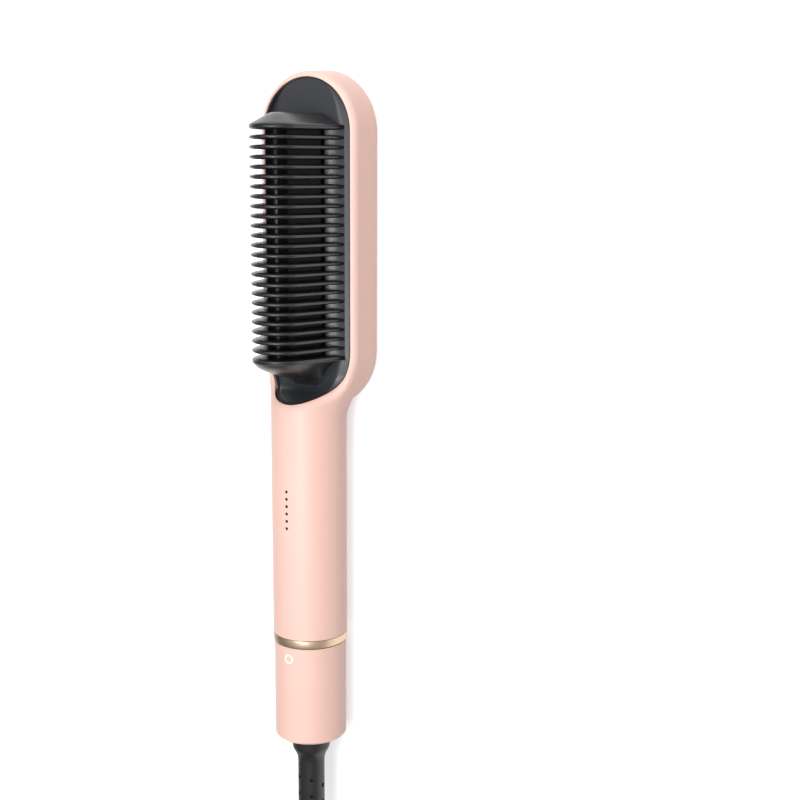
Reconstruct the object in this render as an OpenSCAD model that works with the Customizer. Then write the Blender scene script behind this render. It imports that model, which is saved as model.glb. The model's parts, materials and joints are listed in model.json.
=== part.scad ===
// Heated hair straightening brush with a rotary dial and a swivel mains lead.
// It lies on its back: +Z is the comb side, +Y runs towards the head,
// and the origin is under the middle of the body, on the face that it lies on.

/* [Head] */
// Width of the head
head_w = 47; // [44:0.5:52]
// Depth of the head from its back to the rim
head_t = 15.7; // [15.2:0.1:17]
// Distance between the centres of the head's two round ends
head_straight = 84; // [82:1:96]
// Place of the lower round end's centre along the body
head_low_y = 26; // [24:0.5:30]
// Rounding of the head's back edge
back_round = 2.6; // [1.5:0.1:3]
// Rounding of the head's front edge
front_round = 1.6; // [0.8:0.1:1.8]
// Thickness of the moulded walls
wall = 2.2; // [1.8:0.1:2.6]
// Radius of the hollow between the head and the handle
neck_r = 8; // [5:0.5:10]

/* [Handle] */
// Radius of the handle where it meets the head
handle_r = 15; // [14:0.1:15.4]
// Radius of the handle at the band
handle_end_r = 14.9; // [14.4:0.1:15.4]
// Place of the handle's end along the body
handle_end_y = -89.1; // [-95:0.5:-85]
// Wall of the handle
handle_wall = 1.9; // [1.6:0.1:2.2]
// Number of indicator dots
dot_count = 6; // [3:1:8]
// Distance between the dots
dot_pitch = 2.98; // [2.6:0.02:3.4]
// Diameter of a dot
dot_d = 1.3; // [1:0.1:1.6]
// Place of the first dot along the body
dot_y = -28.5; // [-32:0.5:-24]

/* [Front panel] */
// Width of the lip round the front panel
lip_w = 2.9; // [2.2:0.1:3.4]
// Height of the panel's flat middle
panel_z = 15; // [14.8:0.1:15.4]
// Half width of the panel's flat middle
panel_flat = 15.8; // [15:0.1:17]
// Drop of the panel at its edge
panel_drop = 2.5; // [1.5:0.1:3]
// Thickness of the panel
panel_t = 2; // [1.6:0.1:2.2]
// Radius of the sweep from the rim up to the handle
sweep_r = 8; // [6:0.5:10]
// Steepness of that sweep
sweep_deg = 66; // [60:1:70]
// Place where the sweep begins
sweep_y = 17.4; // [16:0.2:19]
// Radius of the neck's top where the head spreads from the handle
neck_round = 18; // [17:0.5:20]

/* [Back panel] */
// Half width of the metal-look band's outer edge
trim_out = 21.56; // [21:0.02:22]
// Half width of the metal-look band's inner edge
trim_in = 16.97; // [16:0.01:18]
// Thickness of the band and of the inlay
trim_t = 1.4; // [1:0.1:1.6]
// Depth of the band's two bevels
trim_bevel = 0.5; // [0.3:0.1:0.8]

/* [Comb] */
// Number of blades
blade_count = 25; // [15:1:25]
// Distance between the blades
blade_pitch = 3.625; // [3.4:0.025:3.8]
// Thickness of a blade
blade_t = 1.8; // [1.4:0.1:2]
// Thickness of a blade's outer edge
blade_edge_t = 0.9; // [0.6:0.1:1]
// Place of the first blade along the body
blade_y = 111.3; // [110:0.1:112]
// Height of the blades' crown
comb_top = 43.18; // [40:0.1:45]
// Radius of the blades' crown
comb_r = 11.44; // [10.5:0.1:12]
// Angle between a blade's flank and the vertical
flank_deg = 17; // [14:0.5:18]
// How far the blades stand proud of the heated comb
guard_depth = 5.6; // [4.5:0.1:5.8]
// Length of the guard's end caps
cap_len = 3.9; // [3:0.1:4.4]
// Size of the heated comb's screws
comb_screw_r = 1.2; // [1:0.1:1.3]

/* [Heater] */
// Thickness of the ceramic heater
heater_t = 2.4; // [2:0.1:2.8]
// Length of the ceramic heater
heater_len = 78; // [60:1:84]
// Top of the ceramic heater
heater_top = 29.5; // [26:0.1:30]
// Thickness of the insulating film
film_t = 0.4; // [0.3:0.1:0.6]
// Thickness of each clamping plate
clamp_t = 1.5; // [1.2:0.1:1.8]

/* [Dial] */
// Step in from the handle to the dial
dial_inset = 0.4; // [0.1:0.1:1]
// Length of the dial cap
dial_len = 40.6; // [38:0.1:44]
// Wall of the dial cap
dial_wall = 1.8; // [1.4:0.1:2.2]
// Length of the metal-look band
ring_len = 3.5; // [2.5:0.1:5]
// Radius of the stem that the dial turns on
stem_r = 9; // [8.4:0.1:9.4]
// Radius of the stem's end journal
journal_r = 7; // [6.8:0.1:7.4]
// Angle between two dial positions
dial_step = 45; // [30:5:60]

/* [Cord outlet] */
// Radius of the swivel barrel
barrel_r = 5.3; // [5:0.1:5.5]
// Length of the strain relief
relief_len = 52; // [40:1:56]
// Radius of the strain relief's collar
collar_r = 7.8; // [7:0.1:8.2]
// Radius of the strain relief's body
relief_r = 5.5; // [5:0.1:6]
// Diameter of the dimples in the strain relief
dimple_d = 1.6; // [1.2:0.1:2]
// Distance between the dimples along the strain relief
dimple_pitch = 7.3; // [6:0.1:9]

/* [Cord] */
// Diameter of the cord
cord_d = 5.5; // [5:0.1:5.6]
// Height of the cord's lowest turns
hank_z = 3.65; // [3.6:0.05:5]
// Distance between the hank's turns
hank_step = 6.2; // [6.15:0.05:6.5]
// Length of the hank's straight runs
hank_run = 102; // [84:1:108]
// How far the tie draws the hank in
waist = 5; // [0:0.5:6]

/* [Plug] */
// Width of the plug
plug_w = 26; // [24:0.5:28]
// Thickness of the plug
plug_t = 13.7; // [13:0.1:15]
// Length of the plug
plug_len = 30; // [26:0.5:36]
// Diameter of the plug's pins
pin_d = 4; // [3.8:0.1:4.2]
// Length of the plug's pins
pin_len = 19; // [17:0.5:20]
// Distance between the plug's pins
pin_gap = 18.6; // [17:0.1:19]

/* [Hidden] */
$fn = 64;

fit = 0.05;
seat_gap = 0.15;
turn_gap = 0.3;
far = 200;

head_r = head_w / 2;
head_high_y = head_low_y + head_straight;
axis_z = handle_r;
bore_r = handle_r - handle_wall;
dial_r = handle_r - dial_inset;
recess_z = trim_t;
floor_z = recess_z + 2;
cavity_r = head_r - wall;
seat_r = head_r - lip_w;
panel_low_y = head_low_y + 0.5;
panel_r = seat_r - seat_gap;
ledge_z = panel_z - panel_drop - 1.2;
ledge_in = seat_r - 1.3;
ledge_t = 1.6;
sweep_z = head_t + 0.02 + sweep_r;
panel_sweep_r = sweep_z - panel_z;
dot_guide_y = dot_y - dot_pitch * (dot_count - 1) / 2;

crown_z = comb_top - comb_r;
blade_end_y = blade_y - blade_pitch * (blade_count - 1);
core_gap = 0.2;
core_top_y = blade_y + cap_len - 0.6;
core_low_y = blade_end_y - cap_len + 0.6;
core_base_z = panel_z - panel_t - 2;
rim_in = panel_flat - 1;
flange_x = 13.2;
flange_top = panel_z - panel_t;
screw_ys = [core_low_y - 2, core_top_y + 3.4];
slot_x = heater_t / 2 + film_t + clamp_t;
heater_mid_y = (core_top_y + core_low_y) / 2;
heater_low = core_base_z;
boss_x = 16.3;
boss_r = 2.5;
boss_ys = [44, 96];
body_screw_r = 1.15;
shield_z = floor_z + 2.2;
shield_t = 0.8;
shield_len = heater_len + 6;
shield_w = 2 * (flange_x - 0.6);
shield_y = heater_mid_y + 2.2;
post_x = shield_w / 2 - 3.6;
post_y = shield_len / 2 - 6;
fuse_r = 1.7;
fuse_len = 10;
fuse_lead = 6;
screw_len = panel_z - floor_z - 2.6;

board_z = axis_z + 2;
board_t = 1.6;
board_y = -74;
board_len = 68;
board_top = board_z + board_t;
board_clear = 0.4;
board_w = 2 * (sqrt(bore_r * bore_r - (board_top - axis_z) * (board_top - axis_z)) - board_clear);
chassis_t = 1.4;

ring_y = handle_end_y - ring_len;
dial_top_y = ring_y - turn_gap;
dial_end_y = ring_y - turn_gap - dial_len;
bush_in_r = 6.6;
bush_wall_y = handle_end_y - 0.9;
flange_y = dial_top_y + 0.2;
shoulder_y = dial_end_y + 4.4;
hub_top_y = dial_top_y - 4.6;
hub_t = 1.8;
journal_end_y = dial_end_y + 0.1;
clip_t = 0.6;
clip_y = dial_end_y + 0.45;
thrust_y = shoulder_y + 15;
detent_y = shoulder_y + 7.4;
detent_r = 1.25;
board2_t = 1.6;

nose_r = 3.5;
collar_y = dial_end_y - 0.4;
relief_end_y = dial_end_y - 0.5 - relief_len;
stub_r = 3.4;
slip_r = 4.5;
slip_w = 2.6;
slip_ys = [thrust_y + 5, thrust_y + 9.6];
wire_r = 0.8;
wire_sides = 8;

// The lead leaves the strain relief level, comes down to the lowest turns and moves to their side.
lead_path = [[0, -186, 15], [0, -192, 15], [0.6, -198, 14.7], [2.3, -204, 13.6], [5.7, -210, 11.5],
    [9.2, -214, 9.3], [12.8, -218, 7.1], [16.1, -224, 5.1], [17.9, -230, 4], [18.475, -236, 3.65]];
// The last stretch climbs on to the hank and runs into the plug, which lies on the hank.
tail_path = [[16.9, -251, 22.1], [16.4, -257, 23.7], [14.9, -263, 26], [12.2, -269, 28.2],
    [8.6, -274.5, 29.9], [4.7, -280, 31], [0.9, -286, 31.6], [-2.4, -292, 31.7], [-4.4, -298, 31.7],
    [-5, -304, 31.7], [-5, -309, 31.7]];
hank_x = -5;
hank_y = -246;
fold_r = 3 * cord_d;
layer_step = 6;
loop_rings = 24;
turn_marks = [1.125, 2.625, 4.125];
hank_turns = 5;
tie_w = 12;
tie_t = 0.6;
tie_gap = 0.3;
boot_len = 15;
cord_sides = 8;
hank_sides = 6;

// How far out a turn lies: the spiral runs in and out again at a steady rate.
function reach(s) = fold_r + hank_step * (s < turn_marks[0] ? turn_marks[0] - s
    : s < turn_marks[1] ? s - turn_marks[0]
    : s < turn_marks[2] ? turn_marks[1] - turn_marks[0] - (s - turn_marks[1])
    : s - turn_marks[2]);
// Share of a climb that is done at turn s, for the climb in the run round turn m.
function climbed(s, m) = s <= m - 0.125 ? 0 : s >= m + 0.125 ? 1
    : (1 - cos(180 * (s - m + 0.125) / 0.25)) / 2;
function level(s) = hank_z + layer_step * (climbed(s, turn_marks[0]) + climbed(s, turn_marks[1])
    + climbed(s, turn_marks[2]));
function drawn(t) = waist * (1 - cos(360 * t)) / 2;
// A point of the hank: a run away from the body, the far fold, a run back and the near fold.
function hank_point(s) = let (q = (s - floor(s)) * 4, leg = floor(q), t = q - leg, r = reach(s))
    leg == 0 ? [hank_x + r - drawn(t), hank_y - hank_run * t, level(s)]
    : leg == 1 ? [hank_x + r * cos(180 * t), hank_y - hank_run - r * sin(180 * t), level(s)]
    : leg == 2 ? [hank_x - r + drawn(t), hank_y - hank_run * (1 - t), level(s)]
    : [hank_x - r * cos(180 * t), hank_y + r * sin(180 * t), level(s)];
// The lead's tube and the hank's meet face to face, on a straight stretch that runs into the first turn.
hank_start = hank_point(0) + [0, cord_d + 0.5, 0];
lead_line = concat(lead_path, [hank_start]);
hank_line = concat([hank_start], [for (i = [0 : loop_rings * hank_turns]) hank_point(i / loop_rings)],
    tail_path);
cord_line = concat(lead_path, hank_line);

function unit(v) = v / norm(v);
function run_length(p, i = 0) = i >= len(p) - 1 ? 0 : norm(p[i + 1] - p[i]) + run_length(p, i + 1);
function to_segment(p, a, b) = let (t = max(0, min(1, (p - a) * (b - a) / ((b - a) * (b - a)))))
    norm(p - a - t * (b - a));
apart = 6;
least_gap = min([for (i = [0 : len(cord_line) - 1]) for (j = [i + apart : 1 : len(cord_line) - 2])
    to_segment(cord_line[i], cord_line[j], cord_line[j + 1])]) - cord_d;
echo(cord_length = run_length(cord_line), least_gap = least_gap);

// A round tube along a line of points, as one closed skin.
module tube(path, d, sides) {
    n = len(path);
    way = [for (i = [0 : n - 1]) unit(path[min(n - 1, i + 1)] - path[max(0, i - 1)])];
    points = [for (i = [0 : n - 1]) let (side = unit(cross(way[i], [0, 0, 1])), up = cross(side, way[i]))
        for (k = [0 : sides - 1]) let (a = 360 * (k + 0.5) / sides)
        path[i] + d / 2 * (cos(a) * side + sin(a) * up)];
    skin = [for (i = [0 : n - 2]) for (k = [0 : sides - 1])
        let (a = i * sides + k, b = i * sides + (k + 1) % sides)
        each [[a, b + sides, b], [a, a + sides, b + sides]]];
    ends = [for (k = [1 : sides - 2]) each [[0, k, k + 1],
        [(n - 1) * sides, (n - 1) * sides + k + 1, (n - 1) * sides + k]]];
    polyhedron(points, concat(skin, ends));
}

// Turns a shape drawn in X and Z so that it is extruded along Y from y0 to y1.
module along_y(y0, y1) {
    translate([0, y1, 0]) rotate([90, 0, 0]) linear_extrude(y1 - y0) children();
}

// Turns an outline drawn as [y, z] so that it is extruded along X, centred.
module along_x(w) {
    translate([-w / 2, 0, 0]) rotate([90, 0, 90]) linear_extrude(w) children();
}

// A shape of revolution about the handle's axis, drawn as [radius, y].
module about_axis() {
    translate([0, 0, axis_z]) rotate([-90, 0, 0]) rotate_extrude() children();
}

// A rod along the handle's axis.
module axle(r, y0, y1) {
    translate([0, y0, axis_z]) rotate([-90, 0, 0]) cylinder(r = r, h = y1 - y0);
}

// An upright slab with round ends, from the lower centre to the upper one.
module stadium(r, z0, z1, y0 = head_low_y, y1 = head_high_y) {
    translate([-r, y0, z0]) cube([2 * r, y1 - y0, z1 - z0]);
    for (y = [y0, y1]) translate([0, y, z0]) cylinder(r = r, h = z1 - z0);
}

// Sweeps half a cross-section, drawn as [half width, z], round a slab with round ends.
module stadium_sweep(y0, y1) {
    along_y(y0, y1) { children(); mirror([1, 0]) children(); }
    for (y = [y0, y1]) translate([0, y, 0]) rotate_extrude() children();
}

// Everything in front of the sweep that rises from the rim to the front of the handle.
module in_front_of_sweep(r) {
    end = [sweep_y - r * sin(sweep_deg), sweep_z - r * cos(sweep_deg)];
    along_x(4 * head_r) polygon([[sweep_y + far, sweep_z + far], [sweep_y + far, sweep_z - r],
        [sweep_y, sweep_z - r], [sweep_y, sweep_z], end, end + far * [-cos(sweep_deg), sin(sweep_deg)]]);
    translate([-2 * head_r, sweep_y, sweep_z]) rotate([0, 90, 0]) cylinder(r = r, h = 4 * head_r, $fn = 96);
}

// Half of the head's cross-section.
module head_half() {
    square_top = head_t - front_round;
    square([head_r - back_round, head_t - front_round]);
    translate([0, back_round]) square([head_r, square_top - back_round]);
    translate([head_r - back_round, back_round]) circle(back_round);
    square([head_r - front_round, head_t]);
    translate([head_r - front_round, square_top]) circle(front_round);
}

// The hollow corners where the round head runs into the handle.
module neck_corners(top = head_t) {
    cx = handle_r + neck_r;
    cy = head_low_y - sqrt((head_r + neck_r) ^ 2 - cx ^ 2);
    for (side = [-1, 1]) translate([0, 0, back_round / 4]) difference() {
        linear_extrude(top - back_round / 4) polygon([[side * handle_r / 2, cy], [side * cx, cy],
            [side * cx * head_r / (head_r + neck_r),
                head_low_y + (cy - head_low_y) * head_r / (head_r + neck_r)],
            [side * handle_r / 2, head_low_y]]);
        translate([side * cx, cy, -1]) cylinder(r = neck_r, h = top + 2);
    }
}

module shell_skin() {
    neck_y = head_low_y - head_r;
    stadium_sweep(head_low_y, head_high_y) head_half();
    translate([0, handle_end_y, axis_z]) rotate([-90, 0, 0])
        cylinder(r1 = handle_end_r, r2 = handle_r, h = head_low_y - handle_end_y);
    intersection() {
        translate([0, neck_y + 1, 2 * axis_z - 0.3 - neck_round]) rotate([-90, 0, 0])
            cylinder(r = neck_round, h = 16);
        union() {
            stadium(head_r, back_round, 2 * handle_r);
            neck_corners(2 * handle_r);
        }
    }
    neck_corners();
}

// Head, neck and handle as one moulding
module main_shell() {
    color("#f7cfc0") difference() {
        shell_skin();
        in_front_of_sweep(sweep_r);
        stadium(seat_r, ledge_z, far, panel_low_y);
        stadium(ledge_in, ledge_z - ledge_t - 1, ledge_z + 1, panel_low_y);
        difference() {
            stadium(cavity_r, floor_z, ledge_z - ledge_t);
            for (x = [-boss_x, boss_x]) for (y = boss_ys)
                translate([x, y, 0]) cylinder(r = boss_r + 1, h = floor_z + 1.6);
            for (x = [-post_x, post_x]) for (y = [shield_y - post_y, shield_y + post_y])
                translate([x, y, 0]) cylinder(r = 1.5, h = shield_z);
        }
        axle(bore_r, handle_end_y - 1, head_low_y - 4);
        stadium(trim_out + seat_gap / 2, -1, recess_z);
        for (x = [-boss_x, boss_x]) for (y = boss_ys) translate([x, y, 0]) {
            cylinder(r = 2.6, h = recess_z + 1.4);
            cylinder(r = 1.35, h = floor_z + 3);
        }
        for (k = [0 : dot_count - 1]) translate([0, dot_y - dot_pitch * k, axis_z])
            cylinder(d = dot_d, h = far);
    }
}

// Metal-look band round the inlay
module back_trim() {
    color("#bda88f") difference() {
        stadium_sweep(head_low_y, head_high_y) polygon([[trim_in, trim_bevel], [trim_in + 1.2, 0],
            [trim_out - 1, 0], [trim_out, trim_bevel], [trim_out, recess_z], [trim_in, recess_z]]);
        stadium(trim_in, -1, recess_z + 1);
    }
}

// Inlay in the middle of the back
module back_panel() {
    color("#f7cfc0") stadium(trim_in - seat_gap, 0, recess_z);
}

// Dark panel round the comb, which rises to the front of the handle
module front_bezel() {
    edge_z = panel_z - panel_drop;
    under_z = panel_z - panel_t;
    color("#3f4144") difference() {
        union() {
            difference() {
                stadium_sweep(panel_low_y, head_high_y) polygon([[0, under_z], [rim_in, under_z],
                    [rim_in, ledge_z], [panel_r, ledge_z], [panel_r, edge_z],
                    [panel_flat, panel_z], [0, panel_z]]);
                stadium(rim_in, 0, under_z, panel_low_y);
                in_front_of_sweep(panel_sweep_r);
                translate([0, sweep_y - far / 2, 0]) cube([far, far, far], center = true);
            }
            intersection() {
                difference() {
                    in_front_of_sweep(panel_sweep_r + panel_t);
                    in_front_of_sweep(panel_sweep_r);
                    translate([0, sweep_y + far / 2, 0]) cube([far, far, far], center = true);
                }
                stadium(panel_r, 0, far, panel_low_y);
                axle(handle_r + 5, 0, head_low_y);
                translate([-far / 2, 0, ledge_z]) cube([far, far, 2 * handle_r - ledge_z - 0.2]);
            }
            for (x = [-boss_x, boss_x]) for (y = boss_ys)
                translate([x, y, floor_z + 1.6]) cylinder(r = boss_r, h = panel_z - floor_z - 2.6);
        }
        translate([-core_reach(under_z) - seat_gap, core_low_y - seat_gap, 0])
            cube([2 * (core_reach(under_z) + seat_gap), core_top_y - core_low_y + 2 * seat_gap, far]);
        for (x = [-boss_x, boss_x]) for (y = boss_ys)
            translate([x, y, 0]) cylinder(r = body_screw_r, h = panel_z - 2);
        for (y = screw_ys) translate([0, y, 0]) cylinder(r = comb_screw_r, h = panel_z - 0.8);
    }
}

// Half width at height z of the comb's outline, drawn in by the depth given.
function flank_reach(z, depth) = (comb_r - depth) * cos(flank_deg)
    + (crown_z + (comb_r - depth) * sin(flank_deg) - z) * tan(flank_deg);
function core_reach(z) = flank_reach(z, guard_depth);

// The comb's outline: a round crown on two straight flanks.
module comb_outline(depth, base_z) {
    r = comb_r - depth;
    translate([0, crown_z]) circle(r);
    polygon([[-r * cos(flank_deg), crown_z + r * sin(flank_deg)], [-flank_reach(base_z, depth), base_z],
        [flank_reach(base_z, depth), base_z], [r * cos(flank_deg), crown_z + r * sin(flank_deg)]]);
}

module panel_top(y0, y1) {
    slope = panel_drop / (panel_r - panel_flat);
    along_y(y0, y1) polygon([[-2 * head_r, -1], [2 * head_r, -1],
        [2 * head_r, panel_z - slope * (2 * head_r - panel_flat)], [panel_flat, panel_z],
        [-panel_flat, panel_z], [-2 * head_r, panel_z - slope * (2 * head_r - panel_flat)]]);
}

// A cap that falls from the blades' outline to the heated comb's.
module end_cap(y, way) {
    hull() {
        along_y(y - 0.01, y + 0.01) comb_outline(0, panel_z - 1.6, $fn = 32);
        along_y(y + way * cap_len - 0.01, y + way * cap_len + 0.01)
            comb_outline(guard_depth - 0.6, panel_z, $fn = 32);
    }
}

// Cool-touch blades, joined by a rail at each side and a cap at each end
module comb_guard() {
    edge_step = (blade_t - blade_edge_t) / 2 * 1.5;
    rail_h = 1.4;
    color("#26272a") difference() {
        union() {
            for (i = [0 : blade_count - 1]) translate([0, blade_y - blade_pitch * i, 0]) {
                along_y(-blade_edge_t / 2, blade_edge_t / 2) comb_outline(0, panel_z - 2);
                along_y(-blade_t / 2, blade_t / 2) comb_outline(edge_step, panel_z - 2);
            }
            along_y(blade_end_y, blade_y) for (side = [-1, 1]) polygon([
                [side * core_reach(panel_z), panel_z], [side * (core_reach(panel_z) + 1.6), panel_z],
                [side * (core_reach(panel_z + rail_h) + 1.2), panel_z + rail_h],
                [side * core_reach(panel_z + rail_h), panel_z + rail_h]]);
            end_cap(blade_y, 1);
            end_cap(blade_end_y, -1);
        }
        along_y(core_low_y - core_gap, core_top_y + core_gap) comb_outline(guard_depth - core_gap, 0);
        panel_top(core_low_y - far, core_top_y + far);
    }
}

// Heated comb that the hair is pressed against, with a slot for the heater
module heating_comb() {
    color("#101112") difference() {
        union() {
            along_y(core_low_y, core_top_y) comb_outline(guard_depth, core_base_z);
            intersection() {
                translate([-flange_x, screw_ys[0] - 3, core_base_z])
                    cube([2 * flange_x, screw_ys[1] - screw_ys[0] + 6, flange_top - core_base_z]);
                stadium(rim_in - seat_gap, 0, far, panel_low_y);
            }
        }
        translate([-slot_x, core_low_y + 3, core_base_z - 1])
            cube([2 * slot_x, core_top_y - core_low_y - 6, heater_top + film_t - core_base_z + 1]);
        for (y = screw_ys) translate([0, y, 0]) cylinder(r = comb_screw_r + 0.2, h = flange_top + 1);
        translate([-flange_x - 1, core_top_y + seat_gap, flange_top - fit])
            cube([2 * flange_x + 2, far, far]);
        translate([-flange_x - 1, core_low_y - seat_gap - far, flange_top - fit])
            cube([2 * flange_x + 2, far, far]);
    }
}

module heater_element() {
    color("#e8e4da") translate([-heater_t / 2, heater_mid_y - heater_len / 2, heater_low])
        cube([heater_t, heater_len, heater_top - heater_low]);
}

// Film folded over the heater
module heater_insulation() {
    w = heater_t / 2 + film_t;
    color("#c98a2b") difference() {
        translate([-w, heater_mid_y - heater_len / 2, heater_low])
            cube([2 * w, heater_len, heater_top + film_t - heater_low]);
        translate([-heater_t / 2, heater_mid_y - far / 2, heater_low - 1])
            cube([heater_t, far, heater_top - heater_low + 1]);
    }
}

// Plates that press the heater against the comb
module heater_clamps() {
    color("#b8bcc0") for (x = [-slot_x, heater_t / 2 + film_t])
        translate([x, heater_mid_y - heater_len / 2, heater_low])
            cube([clamp_t, heater_len, heater_top - heater_low - 2]);
}

module comb_screws() {
    color("silver") for (y = screw_ys) translate([0, y, 0]) {
        translate([0, 0, core_base_z - 1.5]) cylinder(r = 2.2, h = 1.5);
        translate([0, 0, core_base_z]) cylinder(r = comb_screw_r - fit, h = panel_z - 1 - core_base_z);
    }
}

// Bead that measures the comb's temperature
module temp_sensor() {
    r = 0.9;
    color("#d8c9a0") translate([-8, 86, core_base_z - r]) rotate([-90, 0, 0]) cylinder(r = r, h = 6);
}

module thermal_fuse() {
    fuse_y = heater_mid_y - heater_len / 5 - 0.2;
    color("#b0a070") translate([8, fuse_y, core_base_z - fuse_r]) rotate([-90, 0, 0]) {
        cylinder(r = fuse_r, h = fuse_len);
        translate([0, 0, -fuse_lead]) cylinder(r = 0.4, h = fuse_len + 2 * fuse_lead);
    }
}

// Mica sheet between the heated comb and the back
module heat_shield() {
    color("#cfc6b0") translate([-shield_w / 2, shield_y - shield_len / 2, shield_z])
        cube([shield_w, shield_len, shield_t]);
}

module heater_wires() {
    z0 = core_base_z - wire_r;
    on_board = board_top + wire_r;
    board_end = board_y + board_len;
    heater_end = heater_mid_y - heater_len / 2;
    for (side = [-1, 1]) color(side < 0 ? "white" : "firebrick") tube([[side * 0.9, heater_end + 11.2, z0],
        [side * 1.1, heater_end - 0.8, z0], [side * 3.8, heater_end - 6, z0 - 0.3],
        [side * 3.8, head_low_y - 11, z0 - 0.3], [side * 3.4, head_low_y - 18, z0 + 0.6],
        [side * 3, board_end + 8, z0 + 4], [side * 3.6, board_end + 3, on_board - 0.6],
        [side * 4, board_end - 1, on_board], [side * 4, board_end - 6, on_board]], 2 * wire_r, wire_sides);
}

// Screws that draw the front panel down to the back wall, hidden by the inlay
module bezel_screws() {
    color("silver") for (x = [-boss_x, boss_x]) for (y = boss_ys) translate([x, y, 0]) {
        translate([0, 0, recess_z + 0.1]) cylinder(r = 2.3, h = 1.3);
        translate([0, 0, recess_z + 1]) cylinder(r = body_screw_r - fit, h = screw_len);
    }
}

// Tray that carries the circuit board in the handle
module handle_chassis() {
    r = bore_r - fit;
    color("#dddddd") difference() {
        axle(r, handle_end_y + 13, -4);
        axle(r - chassis_t, handle_end_y + 11, -2);
        translate([-far / 2, -far, board_z]) cube([far, 2 * far, far]);
    }
}

module main_board() {
    color("#2e7d46") translate([-board_w / 2, board_y, board_z]) cube([board_w, board_len, board_t]);
}

module control_chip() {
    color("#222222") translate([-3, -22, board_top]) cube([6, 5, 1.6]);
}

module board_capacitor() {
    r = 3.6;
    color("#335577") translate([3.5, -71, board_top + r]) rotate([-90, 0, 0]) cylinder(r = r, h = 12);
}

module board_triac() {
    color("#333333") {
        translate([-9, -60, board_top]) cube([8, 9, 4.4]);
        translate([-9, -51, board_top]) cube([8, 4, 1.3]);
    }
}

led_h = 0.8;
module status_leds() {
    color("white") for (k = [0 : dot_count - 1]) translate([-0.8, dot_y - dot_pitch * k - 0.5, board_top])
        cube([1.6, 1, led_h]);
}

// Clear guide that takes the light to the dots
module light_guide() {
    w = 3;
    len_y = dot_pitch * (dot_count - 1) + w;
    low = board_top + led_h;
    bar_top = axis_z + bore_r - 0.6;
    peg_r = dot_d / 2 - fit;
    color("#fff4ee") {
        translate([-w / 2, dot_guide_y - len_y / 2, bar_top - 1.6]) cube([w, len_y, 1.6]);
        for (k = [0 : dot_count - 1]) translate([0, dot_y - dot_pitch * k, low])
            cylinder(r = peg_r, h = axis_z + handle_end_r - low);
    }
}

module supply_wires() {
    on_board = board_top + wire_r;
    for (side = [-1, 1]) color(side < 0 ? "sienna" : "royalblue") tube([[side * 9.4, board_y + 3, on_board],
        [side * 9.4, board_y - 1, on_board], [side * 7, board_y - 6, axis_z + side * 4.4],
        [side * 2, bush_wall_y + 6, axis_z + side * 4.7], [0, bush_wall_y + 2, axis_z + side * 4.7],
        [0, bush_wall_y, axis_z + side * 4.7]],
        2 * wire_r, wire_sides);
}

// Thin wires from the board to the dial's tracks
module dial_wires() {
    r = 0.5;
    on_board = board_top + r;
    color("gold") for (x = [-2, 0, 2]) tube([[x, board_y + 3, on_board], [x, board_y - 1, on_board],
        [x, board_y - 7, axis_z + 9.4], [x, bush_wall_y + 1, axis_z + 10], [x, flange_y, axis_z + 10]],
        2 * r, wire_sides);
}

// Metal-look band between the handle and the dial
module handle_ring() {
    color("#bda88f") about_axis() translate([bush_r(), ring_y]) square([handle_r - bush_r(), ring_len - fit]);
}

function bush_r() = bore_r - fit;

// Bush in the handle's end, with the stem that the dial turns on
module end_bush() {
    plug_y = handle_end_y + 11;
    color("#e9e4dc") difference() {
        about_axis() polygon([[bush_in_r, bush_wall_y], [bush_r() - 2, bush_wall_y], [bush_r() - 2, plug_y],
            [bush_r(), plug_y], [bush_r(), flange_y], [stem_r, flange_y], [stem_r, shoulder_y],
            [journal_r, shoulder_y], [journal_r, clip_y + clip_t + fit],
            [journal_r - 0.6, clip_y + clip_t + fit],
            [journal_r - 0.6, clip_y - fit], [journal_r, clip_y - fit], [journal_r, journal_end_y],
            [barrel_r + fit, journal_end_y], [barrel_r + fit, thrust_y], [bush_in_r, thrust_y]]);
        translate([-3, flange_y - 1, axis_z + 9.4]) cube([6, far, 1.2]);
        translate([0, detent_y, axis_z]) cylinder(r = detent_r + fit, h = far);
        translate([0, detent_y, axis_z - 1]) cylinder(r = 0.01, h = 1);
    }
}

// Ring board with the dial's tracks
module switch_board() {
    color("#2e7d46") about_axis() translate([stem_r + fit, flange_y - board2_t])
        square([bush_r() - 1 - stem_r - fit, board2_t]);
}

module detent_spring() {
    low = axis_z + barrel_r + 0.9;
    color("silver") translate([0, detent_y, low]) difference() {
        cylinder(r = 1, h = stem_r + axis_z - low - 2 * detent_r + 0.3);
        translate([0, 0, -1]) cylinder(r = 0.6, h = far);
    }
}

module detent_ball() {
    color("silver") translate([0, detent_y, axis_z + stem_r + 0.45 - detent_r]) sphere(r = detent_r);
}

// Clip that keeps the dial on its stem
module dial_clip() {
    color("silver") difference() {
        about_axis() translate([journal_r - 0.6, clip_y]) square([1.6, clip_t]);
        translate([-2, clip_y - 1, axis_z - far]) cube([4, clip_t + 2, far]);
    }
}

// Block that holds the contacts against the slip rings
module contact_carrier() {
    color("#3a3a3a") about_axis() translate([0, bush_wall_y - 4]) square([bush_in_r - fit, 4]);
}

module brush_contacts() {
    w = 1.8;
    color("#c98a4b") for (k = [0, 1]) translate([-w / 2, slip_ys[k] - 1, axis_z]) mirror([0, 0, k])
        translate([0, 0, slip_r + fit]) cube([w, bush_wall_y - 3 - slip_ys[k], 0.3]);
}

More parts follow.
